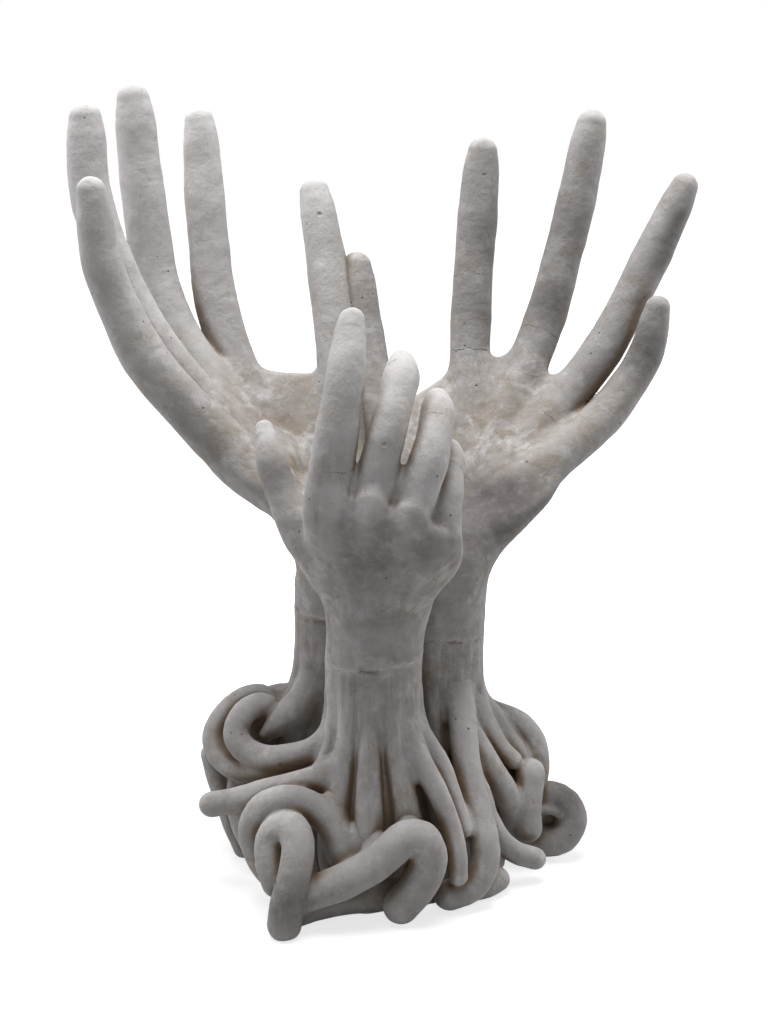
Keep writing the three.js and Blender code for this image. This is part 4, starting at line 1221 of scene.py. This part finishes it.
def group_node(nodes, name, inputs):
    """A shared group, made the first time that it is asked for, with this material's values."""
    makers = {"Plaster mottle": mottle_group, "Pinholes": pinhole_group, "Hairline": hairline_group,
              "Dust and painted shade": dust_and_shade_group, "Blotches": blotch_group}
    group = bpy.data.node_groups.get(name) or makers[name]()
    return nodes.add("ShaderNodeGroup", inputs, node_tree=group).outputs


def new_material(name):
    """A material with a principled shader, and the helper that adds to its nodes."""
    material = bpy.data.materials.new(name)
    material.use_nodes = True
    material.node_tree.nodes.clear()
    nodes = Nodes(material.node_tree)
    shader = nodes.add("ShaderNodeBsdfPrincipled")
    end = nodes.add("ShaderNodeOutputMaterial", {"Surface": shader.outputs[0]})
    end.is_active_output = True
    return material, nodes, shader


def attribute(nodes, name):
    """A value that the piece's points carry."""
    return nodes.add("ShaderNodeAttribute", attribute_name=name).outputs["Fac"]


def marks(nodes, place, wander, rows):
    """The strongest of a list of lines on the surface; rows of centre, direction, reach and width."""
    found = 0.0
    for centre, direction, reach, width in rows:
        mask = group_node(nodes, "Hairline", {"Vector": place, "Wander": wander, "Centre": centre,
                                              "Direction": direction, "Reach": reach, "Width": width})["Mask"]
        found = nodes.math("MAXIMUM", mask, found)
    return found


def brushed_on(nodes, colour, place, look, strength):
    """Long streaks down the piece, dark in some and rubbed pale in others, and their height."""
    squeeze = nodes.add("ShaderNodeMapping", {"Vector": place, "Scale": (1, 1, 0.07)}).outputs[0]
    brushed = nodes.noise(squeeze, 380.0, 4, 0.65)
    rubbed = nodes.ramp(brushed, 0.5, 0.7)
    colour = nodes.mix(nodes.math("MULTIPLY", rubbed, strength), colour, (*look.shade, 1))
    wiped = nodes.ramp(brushed, 0.45, 0.28)
    colour = nodes.mix(nodes.math("MULTIPLY", wiped, 0.6 * strength), colour, (*look.chalk_and_light, 1))
    return colour, brushed


def palm_bowl(nodes, colour, mottle, blots, look):
    """The brown of the palms, broken up by the mottle and by chalky rubs."""
    bowl = nodes.math("MULTIPLY", attribute(nodes, "palm"), nodes.ramp(mottle["Fine"], 0, 1, 0.5, 1.0))
    bowl = nodes.math("MULTIPLY", bowl, nodes.ramp(blots["Brown"], 0, 1, 0.7, 1.15))
    bowl = nodes.math("MULTIPLY", bowl, nodes.ramp(blots["Chalk"], 0, 1, 1.0, 0.35))
    return nodes.mix(nodes.math("MULTIPLY", bowl, look.palm_brown), colour, (*look.brown, 1))


def plaster(name, look, cracks=(), seams=(), stains=(), streaks=0.0, hollow_darkening=1.0, palms=False):
    """Matt plaster: cloudy body colour, painted light and shade by place, brown dust and painted shade in
    hollows, chalk and painted highlights on edges, pinholes and cracks.

    `cracks`, `seams` and `stains` are rows of centre, direction, reach and width, in metres."""
    material, nodes, shader = new_material(name)
    place = nodes.add("ShaderNodeTexCoord").outputs["Object"]
    hollow, edge, tone = attribute(nodes, "hollow"), attribute(nodes, "edge"), attribute(nodes, "painted_light_and_wear")
    mottle = group_node(nodes, "Plaster mottle", {"Vector": place, "Patch Size": 0.028})
    blots = group_node(nodes, "Blotches", {"Vector": place, "Size": 0.017})
    holes = group_node(nodes, "Pinholes", {"Vector": place, "Spacing": 0.0058, "Radius": 0.00045,
                                           "Share": 0.26})["Mask"]
    chips = group_node(nodes, "Pinholes", {"Vector": place, "Spacing": 0.017, "Radius": 0.0011,
                                           "Share": 0.2})["Mask"]
    dust_and_shade = group_node(nodes, "Dust and painted shade", {"Hollow": hollow, "Broad": mottle["Broad"],
                                              "Fine": mottle["Fine"], "Amount": look.dust_and_shade * hollow_darkening})["Mask"]
    # The body colour in cloudy patches, then painted light and shade. It is paler where the point's tone is
    # above zero and darker where it is below, each mixed with wear and handling.
    colour = nodes.mix(mottle["Broad"], (*look.body, 1), (*look.patch, 1))
    colour = nodes.mix(nodes.math("MULTIPLY", mottle["Fine"], 0.45), colour, (*look.shade, 1))
    colour = nodes.mix(nodes.math("MULTIPLY", blots["Brown"], look.blotches), colour, (*look.brown, 1))
    pale_light_and_wear = nodes.math("MULTIPLY", nodes.ramp(tone, 0, 1), nodes.ramp(mottle["Broad"], 0, 1, 1.0, 0.6))
    colour = nodes.mix(pale_light_and_wear, colour, (*look.chalk_and_light, 1))
    if palms:
        colour = palm_bowl(nodes, colour, mottle, blots, look)
    dark_shade_and_handling = nodes.math("MULTIPLY", nodes.ramp(tone, 0, -1), nodes.ramp(mottle["Fine"], 0, 1, 0.85, 1.1))
    colour = nodes.mix(dark_shade_and_handling, colour, (*look.shade_and_handling, 1))
    if streaks:
        colour, brushed = brushed_on(nodes, colour, place, look, streaks)
    # Brown dust and painted shade in the hollows, darkest in the deepest. Chalk and painted highlights on the
    # edges, chalk in rubs, and fine dark specks.
    colour = nodes.mix(dust_and_shade, colour, (*look.brown, 1))
    # Painted shade: the deepest hollows are darkened further, in the rust colour.
    deep_dust_and_shade = nodes.ramp(hollow, 0.45, 0.9, 0.0, 0.8)
    colour = nodes.mix(nodes.math("MULTIPLY", deep_dust_and_shade, look.dust_and_shade * hollow_darkening), colour, (*look.rust, 1))
    # Painted highlight mixed with wear: edges and tips that stand out are made chalky white.
    chalk_and_light = nodes.ramp(mottle["Fine"], 0.2, 0.9, 0.35, 1.0)
    chalk_and_highlight = nodes.math("MULTIPLY", nodes.ramp(edge, 0.03, 0.32), chalk_and_light)
    chalk_and_highlight = nodes.math("MAXIMUM", chalk_and_highlight, nodes.math("MULTIPLY", blots["Chalk"], 0.55))
    clear = nodes.ramp(hollow, 0.1, 0.45, 1.0, 0.0)
    clear = nodes.math("MULTIPLY", clear, nodes.ramp(dark_shade_and_handling, 0, 0.7, 1.0, 0.15))
    chalk_and_highlight = nodes.math("MULTIPLY", chalk_and_highlight, clear)
    colour = nodes.mix(nodes.math("MULTIPLY", chalk_and_highlight, look.chalk_and_highlight), colour, (*look.chalk_and_light, 1))
    specks = nodes.ramp(nodes.noise(place, 900.0, 3, 0.6), 0.58, 0.7, 0.0, look.specks)
    specks = nodes.math("MULTIPLY", specks, nodes.ramp(blots["Brown"], 0, 1, 0.3, 1.0))
    colour = nodes.mix(specks, colour, (*look.rust, 1))
    # Stains and cracks, which wander, and come and go along their length.
    wander = nodes.math("SUBTRACT", nodes.noise(place, 150.0, 4, 0.7), 0.5)
    wander = nodes.math("MULTIPLY", wander, 0.006)
    broken = nodes.ramp(nodes.noise(place, 110.0, 3, 0.6), 0.42, 0.56)
    if stains:
        thinned = nodes.ramp(broken, 0, 1, 0.25, 1.0)
        rust = nodes.math("MULTIPLY", marks(nodes, place, wander, stains), thinned)
        colour = nodes.mix(nodes.math("MULTIPLY", rust, 0.7), colour, (*look.rust, 1))
    crack = nodes.math("MULTIPLY", marks(nodes, place, wander, cracks), broken) if cracks else 0.0
    joint = nodes.math("MULTIPLY", marks(nodes, place, wander, seams), broken) if seams else 0.0
    dark = nodes.math("MULTIPLY", holes, 0.8)
    for mask, strength in ((crack, 0.6), (joint, 0.5), (chips, 0.35)):
        dark = nodes.math("MAXIMUM", dark, nodes.math("MULTIPLY", mask, strength))
    colour = nodes.mix(dark, colour, (*look.pit, 1))
    # The same marks as heights.
    height = nodes.math("MULTIPLY", mottle["Grain"], 0.3)
    height = nodes.math("ADD", height, nodes.math("MULTIPLY", mottle["Fine"], 0.4))
    height = nodes.math("ADD", height, nodes.math("MULTIPLY", blots["Dabs"], 0.8))
    for mask, depth in ((holes, 1.2), (chips, 1.6), (crack, 0.9)):
        height = nodes.math("SUBTRACT", height, nodes.math("MULTIPLY", mask, depth))
    if streaks:
        height = nodes.math("ADD", height, nodes.math("MULTIPLY", brushed, 1.2 * streaks))
    relief = nodes.add("ShaderNodeBump", {"Height": height, "Strength": 0.7, "Distance": 0.0007})
    links = nodes.tree.links
    links.new(colour, shader.inputs["Base Color"])
    links.new(nodes.ramp(mottle["Fine"], 0, 1, 0.72, 0.95), shader.inputs["Roughness"])
    links.new(relief.outputs[0], shader.inputs["Normal"])
    shader.inputs["Specular IOR Level"].default_value = 0.25
    return material


def seen_rays(nodes):
    """1 for the rays that show the surroundings: straight, mirrored or through glass."""
    seen = nodes.add("ShaderNodeLightPath").outputs
    direct = nodes.math("MAXIMUM", seen["Is Camera Ray"], seen["Is Glossy Ray"])
    return nodes.math("MAXIMUM", direct, seen["Is Transmission Ray"])


def rod_steel(name):
    """Steel of the rods inside the wrists: drawn lengthwise, with brown rust in patches."""
    material, nodes, shader = new_material(name)
    place = nodes.add("ShaderNodeTexCoord").outputs["Object"]
    drawn = nodes.add("ShaderNodeMapping", {"Vector": place, "Scale": (1, 1, 0.03)}).outputs[0]
    lines = nodes.noise(drawn, 1500.0, 2, 0.5)
    patches = nodes.ramp(nodes.noise(place, 160.0, 5, 0.65), 0.4, 0.6)
    colour = nodes.mix(nodes.ramp(lines, 0.3, 0.7), (0.3, 0.29, 0.28, 1), (0.42, 0.41, 0.4, 1))
    colour = nodes.mix(patches, colour, (0.16, 0.07, 0.035, 1))
    links = nodes.tree.links
    links.new(colour, shader.inputs["Base Color"])
    links.new(nodes.ramp(patches, 0, 1, 0.9, 0.1), shader.inputs["Metallic"])
    links.new(nodes.ramp(patches, 0, 1, 0.35, 0.85), shader.inputs["Roughness"])
    relief = nodes.add("ShaderNodeBump", {"Height": lines, "Strength": 0.3, "Distance": 0.0001})
    links.new(relief.outputs[0], shader.inputs["Normal"])
    return material


# Settings that a user would change

def colour_property(name, default, description):
    """A colour that the user can change."""
    return bpy.props.FloatVectorProperty(name=name, description=description, subtype="COLOR", size=3,
                                         default=default, min=0, max=1)


def length_property(name, default, description, low=0.0, high=50.0):
    """A length in millimetres that the user can change."""
    return bpy.props.FloatProperty(name=name, description=description + ", in mm", default=default,
                                   min=low, max=high)


def share_property(name, default, description, low=0.0, high=1.0):
    """A share, usually from 0 to 1, that the user can change."""
    return bpy.props.FloatProperty(name=name, description=description, default=default, min=low, max=high,
                                   subtype="FACTOR")


class HandForm(bpy.types.PropertyGroup):
    """The modelling of the hands."""

    step: length_property("Grid", 1.08, "Distance between the points that the skin is made from", 0.6, 4)
    joints: length_property("Joints", 0.3, "How much fuller a finger is at its joints", 0, 3)
    pads: length_property("Pads", 0.35, "How much the pads of a finger stand out", 0, 3)
    creases: length_property("Creases", 0.16, "Depth of the creases across a finger", 0, 2)
    palm_lines: length_property("Palm lines", 0.3, "Depth of the lines of the palm", 0, 3)
    cords: length_property("Cords", 0.5, "Height of the cords on the back of the hand", 0, 3)
    worked: length_property("Unevenness", 0.38, "How far the hand-worked surface wanders", 0, 2)


class TrunkForm(bpy.types.PropertyGroup):
    """The modelling of the wrists, the mound and the roots."""

    step: length_property("Grid", 1.0, "Distance between the points that the skin is made from", 0.6, 4)
    coarse_step: length_property("Coarse grid", 2.0, "Grid on which neighbours are worked out", 1, 6)
    ridge: length_property("Ridge", 5.6, "Radius of a ridge of a wrist", 2, 12)
    ridge_blend: length_property("Ridge blend", 2.2, "Rounding where a ridge leaves its wrist", 0.5, 20)
    valley: length_property("Valley", 5.5, "How far the wrist sinks between its ridges", 0, 15)
    wrist_fillet: length_property("Wrist fillet", 6.5, "Rounding where a root leaves a wrist", 0.5, 20)
    root_fillet: length_property("Root fillet", 3.0, "Rounding where a root lies on another", 0.5, 20)
    fillet_reach: length_property("Fillet reach", 5.0, "How far from a root its fillets are kept", 1, 12)
    lead_from: length_property("Lead height", 58.0, "Roots that end above this are sunk into a wrist", 0, 200)
    sink: length_property("Sink", 6.0, "How far the end of such a root is sunk", 0, 20)
    root_fullness: share_property("Fullness", 1.04, "Thickness of the roots, as a share", 0.5, 1.5)
    worked: length_property("Unevenness", 0.42, "How far the hand-worked surface wanders", 0, 2)


class PlasterLook(bpy.types.PropertyGroup):
    """The colours of the plaster."""

    body: colour_property("Body", (0.57, 0.553, 0.55), "Clean plaster")
    patch: colour_property("Patch", (0.42, 0.4, 0.394), "Cloudy patches")
    shade: colour_property("Shade", (0.3, 0.283, 0.276), "Rubbed and speckled places")
    # The brown also paints shade in the hollows.
    brown: colour_property("Dust", (0.34, 0.288, 0.23), "Brown dust in hollows and palms")
    # This chalk colour also paints highlights on edges and tips, and the light where a point's tone is above
    # zero.
    chalk_and_light: colour_property("Chalk", (0.88, 0.862, 0.855), "Chalky plaster on tips and edges")
    # This dark colour also paints the shade where a point's tone is below zero.
    shade_and_handling: colour_property("Handled", (0.17, 0.158, 0.155), "Plaster dark with handling")
    # The rust colour also paints shade in the deepest hollows.
    rust: colour_property("Rust", (0.21, 0.125, 0.07), "Stain beside the seams")
    pit: colour_property("Pits", (0.07, 0.055, 0.045), "Pinholes and cracks")
    # This amount also sets how much shade is painted in the hollows.
    dust_and_shade: share_property("Dust amount", 0.85, "How much dust has settled")
    # This amount also sets the highlights painted on edges and tips.
    chalk_and_highlight: share_property("Chalk amount", 0.6, "How worn the edges are")
    palm_brown: share_property("Palm brown", 0.82, "How brown the palms are")
    blotches: share_property("Blotches", 0.6, "Strength of the brown blotches")
    specks: share_property("Specks", 0.5, "Strength of the fine dark specks")


class StageLook(bpy.types.PropertyGroup):
    """The camera, lamps and floor."""

    distance: bpy.props.FloatProperty(
        name="Distance", description="From the camera to the sculpture's middle", default=0.95,
        min=0.3, max=5, unit="LENGTH")
    height: bpy.props.FloatProperty(
        name="Height", description="Height of the camera", default=0.423, min=0, max=3, unit="LENGTH")
    pitch: bpy.props.FloatProperty(
        name="Pitch", description="How far the camera looks down", default=math.radians(14.3),
        min=0, max=1.5, subtype="ANGLE")
    focal: bpy.props.FloatProperty(
        name="Focal length", description="In pixels of a picture 1024 high", default=2025, min=300, max=9000)
    key: bpy.props.FloatProperty(
        name="Key", description="Power of the lamp above", default=31.5, min=0, max=500, unit="POWER")
    sides: share_property("Sides", 0.1, "Power of each lamp at the side, as a share of the key", 0, 2)
    fill: share_property("Fill", 0.1, "Light from all round", 0, 2)


SHARED = {}  # the fields that several pieces use, by the settings that they were made with


def in_millimetres(box):
    """The low and high corner of a box of the frame, in millimetres."""
    return [np.array(corner) / MM for corner in box]


def shared_field(hands, trunk_form):
    """The whole sculpture on a coarse grid, for the masks of hidden places."""
    low, high = in_millimetres(cad_box)
    whole = Block(low - 20, high + 20, 3)

    def add(make, *settings):
        part = whole.empty_copy()
        make(part, *settings)
        whole.field = np.minimum(whole.field, part.field)

    for arm in ARMS.values():
        add(hand_field, arm, hands)
        add(forearm_field, arm, trunk_form)
    mound_field(whole)
    for name in ROOTS:
        add(root_strand, name, trunk_form)
    return whole


def coarse_trunk(form):
    """The trunk on its coarse grid, from the ground to above the wrist seams."""
    low, high = in_millimetres(cad_box)
    top = max(arm["seam"][2] for arm in ARMS.values()) + 6
    return Trunk(form, (low[0] - 12, low[1] - 12, -6), (high[0] + 12, high[1] + 12, top), form.coarse_step)


def recall(make, *forms):
    """What a function makes of some settings, kept so that pieces share it until a setting changes."""
    key = (make.__name__, *[getattr(form, name) for form in forms for name in form.__annotations__])
    if key not in SHARED:
        SHARED[key] = make(*forms)
    return SHARED[key]


def surroundings():
    """The whole sculpture's coarse field, for the settings as they are."""
    return recall(shared_field, bpy.context.scene.hand_form, bpy.context.scene.trunk_form)


def crack_rows():
    """A short line round a digit for each hairline crack, in metres."""
    made = []
    for hand, digit, share, reach in CRACKS:
        arm = ARMS[hand]
        path, _ = smooth_path(digit_joints(arm, digit, palm_axes(arm)), 2)
        at = int(share * (len(path) - 2))
        along = unit(path[at + 1] - path[at])
        made.append((tuple(path[at] * MM), tuple(along), reach * MM, HAIRLINE * MM))
    return made


def seam_rows():
    """A line round each wrist at its seam, in metres."""
    made = []
    for arm in ARMS.values():
        up = unit(np.array([-arm["seam_tilt"][0], 0, 1]))
        made.append((tuple(np.array(arm["seam"], float) * MM), tuple(up), SEAM_REACH * MM, HAIRLINE * MM))
    return made


def stain_rows():
    """The rust stains at the seams, in metres."""
    return [(tuple(np.array(centre) * MM), way, reach * MM, width * MM)
            for centre, way, reach, width in SEAM_STAINS]


def palm_mask(arm):
    """How far each point belongs to the bowl of the palm, and how pale or dark it is painted at its height,
    for painted light, painted shade and wear.
    """
    forward, _, out = palm_axes(arm)
    wrist = np.array(arm["wrist"], float)

    def mask(points, normals):
        x = (points - wrist) @ forward
        facing = np.clip((normals @ out) * 1.6 - 0.2, 0, 1)
        ahead = np.clip((x + 12) / 18, 0, 1) * np.clip((1.75 * arm["palm"] - x) / (0.8 * arm["palm"]), 0, 1)
        return {"palm": facing * ahead, "painted_light_and_wear": np.interp(points[:, 2], *arm["painted_light_and_wear"])}

    return mask


class MakeHands(bpy.types.Operator):
    """Makes the three hands above their wrist seams"""

    bl_idname = "plaster_hands.hands"
    bl_label = "Hands"

    def execute(self, context):
        form, look = context.scene.hand_form, context.scene.plaster_look
        material = plaster("plaster_hands", look, crack_rows(), seam_rows(), stain_rows(), hollow_darkening=0.6,
                           palms=True)
        for name, arm in ARMS.items():
            low, high = in_millimetres(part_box(f"{name}_hand"))
            block = Block(low - 5, high + 5, form.step)
            hand_field(block, arm, form)
            cast(f"{name}_hand_skin", block, surroundings(), form.worked, material, "plaster_hands",
                 [f"{name}_hand"], palm_mask(arm))
        return {"FINISHED"}


class MakeForearms(bpy.types.Operator):
    """Makes the three fluted wrists below their seams"""

    bl_idname = "plaster_hands.forearms"
    bl_label = "Wrists"

    def execute(self, context):
        form, look = context.scene.trunk_form, context.scene.plaster_look
        material = plaster("plaster_forearms", look, (), seam_rows(), stain_rows(), streaks=0.5)
        for name, arm in ARMS.items():
            low, high = in_millimetres(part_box(f"{name}_forearm"))
            block = Block(low - (5, 5, 4), high + 5, form.step)
            forearm_field(block, arm, form)
            cast(f"{name}_forearm_skin", block, surroundings(), form.worked, material, "plaster_forearms",
                 [f"{name}_forearm"])
        return {"FINISHED"}


class MakeRoots(bpy.types.Operator):
    """Makes the mound and the coiled roots that lie on it"""

    bl_idname = "plaster_hands.roots"
    bl_label = "Mound and roots"

    def execute(self, context):
        form, look = context.scene.trunk_form, context.scene.plaster_look
        material = plaster("plaster_roots", look, streaks=0.15)
        low, high = in_millimetres(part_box("base_mound"))
        block = Block(low - (5, 5, 4), high + 5, 1.5 * form.step)
        mound_field(block)
        cast("base_mound_skin", block, surroundings(), form.worked, material, "plaster_roots", ["base_mound"])
        for name in ROOTS:
            block = root_block(name, recall(coarse_trunk, form), form, form.step)
            cast(f"root_{name}_skin", block, surroundings(), form.worked, material, "plaster_roots",
                 [f"root_{name}"])
        return {"FINISHED"}


class DressRods(bpy.types.Operator):
    """Gives the steel rods inside the wrists their finish"""

    bl_idname = "plaster_hands.rods"
    bl_label = "Wrist rods"

    def execute(self, context):
        steel = rod_steel("rod_steel")
        for name in ARMS:
            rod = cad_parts[f"{name}_wrist_rod"]
            rod.data.materials.clear()
            rod.data.materials.append(steel)
        return {"FINISHED"}


class MakeStage(bpy.types.Operator):
    """Makes the floor, the lamps and the camera"""

    bl_idname = "plaster_hands.stage"
    bl_label = "Stage"

    def execute(self, context):
        look = context.scene.stage_look
        self.make_camera(context.scene, look)
        self.make_floor()
        self.make_lamps(context.scene, look)
        self.make_sky(context.scene, look)
        context.scene.view_settings.view_transform = "Standard"
        return {"FINISHED"}

    @staticmethod
    def make_camera(scene, look):
        """A camera straight in front that looks down a little."""
        camera = bpy.data.objects.new("camera", bpy.data.cameras.new("camera"))
        camera.location = (0, -look.distance, look.height)
        camera.rotation_euler = (math.pi / 2 - look.pitch, 0, 0)
        camera.data.sensor_width = SENSOR
        camera.data.lens = SENSOR * look.focal / PICTURE_HEIGHT
        camera.data.clip_end = 50
        scene.collection.objects.link(camera)
        scene.camera = camera

    @staticmethod
    def make_lamps(scene, look):
        """A broad lamp above and a weak one at each side, all turned to the middle of the sculpture."""
        lamps = (
            ("key_above", (-0.1, 0.06, 1.8), 1.3, look.key),
            ("side_left", (-0.95, 0.35, 0.45), 0.7, look.key * look.sides),
            ("side_right", (0.95, 0.35, 0.45), 0.7, look.key * look.sides),
        )
        for name, place, size, power in lamps:
            lamp = bpy.data.lights.new(name, "AREA")
            lamp.shape = "DISK"
            lamp.size = size
            lamp.energy = power
            made = bpy.data.objects.new(name, lamp)
            made.location = place
            aim = np.array(LAMP_AIM) - np.array(place)
            tip = math.acos(-aim[2] / np.linalg.norm(aim))
            made.rotation_euler = (tip, 0, math.atan2(aim[1], aim[0]) - math.pi / 2)
            scene.collection.objects.link(made)

    @staticmethod
    def make_sky(scene, look):
        """Plain white where it is seen, and a weak light from all round."""
        world = bpy.data.worlds.new("studio")
        world.use_nodes = True
        world.node_tree.nodes.clear()
        nodes = Nodes(world.node_tree)
        strength = nodes.ramp(seen_rays(nodes), 0, 1, look.fill, 1.0)
        sky = nodes.add("ShaderNodeBackground", {"Color": (1, 1, 1, 1), "Strength": strength})
        nodes.add("ShaderNodeOutputWorld", {"Surface": sky.outputs[0]})
        scene.world = world

    @staticmethod
    def make_floor():
        """A round floor whose colour rises to plain white away from the sculpture."""
        rings, sides = 24, 64
        radius = FLOOR_RADIUS * (np.arange(1, rings + 1) / rings) ** 2
        angle = 2 * math.pi * np.arange(sides) / sides
        x, y = np.outer(radius, np.cos(angle)), np.outer(radius, np.sin(angle))
        points = np.vstack([[(0, 0, 0)], np.stack([x, y, 0 * x], -1).reshape(-1, 3)])
        inner = [(0, 1 + n, 1 + (n + 1) % sides) for n in range(sides)]
        a = (1 + sides * np.arange(rings - 1)[:, None] + np.arange(sides)).ravel()
        b = (1 + sides * np.arange(rings - 1)[:, None] + (np.arange(sides) + 1) % sides).ravel()
        outer = np.stack([a, a + sides, b + sides, b], 1).tolist()
        mesh = bpy.data.meshes.new("floor")
        mesh.from_pydata(points.tolist(), [], inner + outer)
        material, nodes, shader = new_material("pale_floor")
        place = nodes.add("ShaderNodeTexCoord").outputs["Object"]
        away = nodes.add("ShaderNodeVectorMath", {0: place}, operation="LENGTH").outputs["Value"]
        glow = nodes.math("MULTIPLY", seen_rays(nodes), nodes.ramp(away, 0.12, 0.34, 0.74, 1.0))
        nodes.tree.links.new(glow, shader.inputs["Emission Strength"])
        shader.inputs["Emission Color"].default_value = (1, 1, 1, 1)
        shader.inputs["Base Color"].default_value = (0.5, 0.5, 0.5, 1)
        shader.inputs["Roughness"].default_value = 0.9
        shader.inputs["Specular IOR Level"].default_value = 0.1
        mesh.materials.append(material)
        floor = bpy.data.objects.new("floor", mesh)
        bpy.context.scene.collection.objects.link(floor)


class PlasterPanel(bpy.types.Panel):
    """Settings and steps of the plaster hands"""

    bl_idname = "VIEW3D_PT_plaster_hands"
    bl_label = "Plaster hands"
    bl_space_type = "VIEW_3D"
    bl_region_type = "UI"
    bl_category = "Plaster hands"

    def draw(self, context):
        scene = context.scene
        for group in (scene.hand_form, scene.trunk_form, scene.plaster_look, scene.stage_look):
            box = self.layout.box()
            for key in group.__annotations__:
                box.prop(group, key)
        for operator in OPERATORS:
            self.layout.operator(operator.bl_idname)


OPERATORS = (MakeForearms, MakeHands, MakeRoots, DressRods, MakeStage)
GROUPS = {
    "hand_form": HandForm,
    "trunk_form": TrunkForm,
    "plaster_look": PlasterLook,
    "stage_look": StageLook,
}


def register():
    """Registers the settings, the operators and the panel."""
    for made in (*GROUPS.values(), *OPERATORS, PlasterPanel):
        bpy.utils.register_class(made)
    for name, made in GROUPS.items():
        setattr(bpy.types.Scene, name, bpy.props.PointerProperty(type=made))


def unregister():
    """Takes them away again."""
    for name in GROUPS:
        delattr(bpy.types.Scene, name)
    for made in (PlasterPanel, *reversed(OPERATORS), *reversed(list(GROUPS.values()))):
        bpy.utils.unregister_class(made)


def main():
    """Makes every piece and the stage."""
    register()
    for operator in OPERATORS:
        group, name = operator.bl_idname.split(".")
        getattr(getattr(bpy.ops, group), name)()


if __name__ == "__main__":
    main()
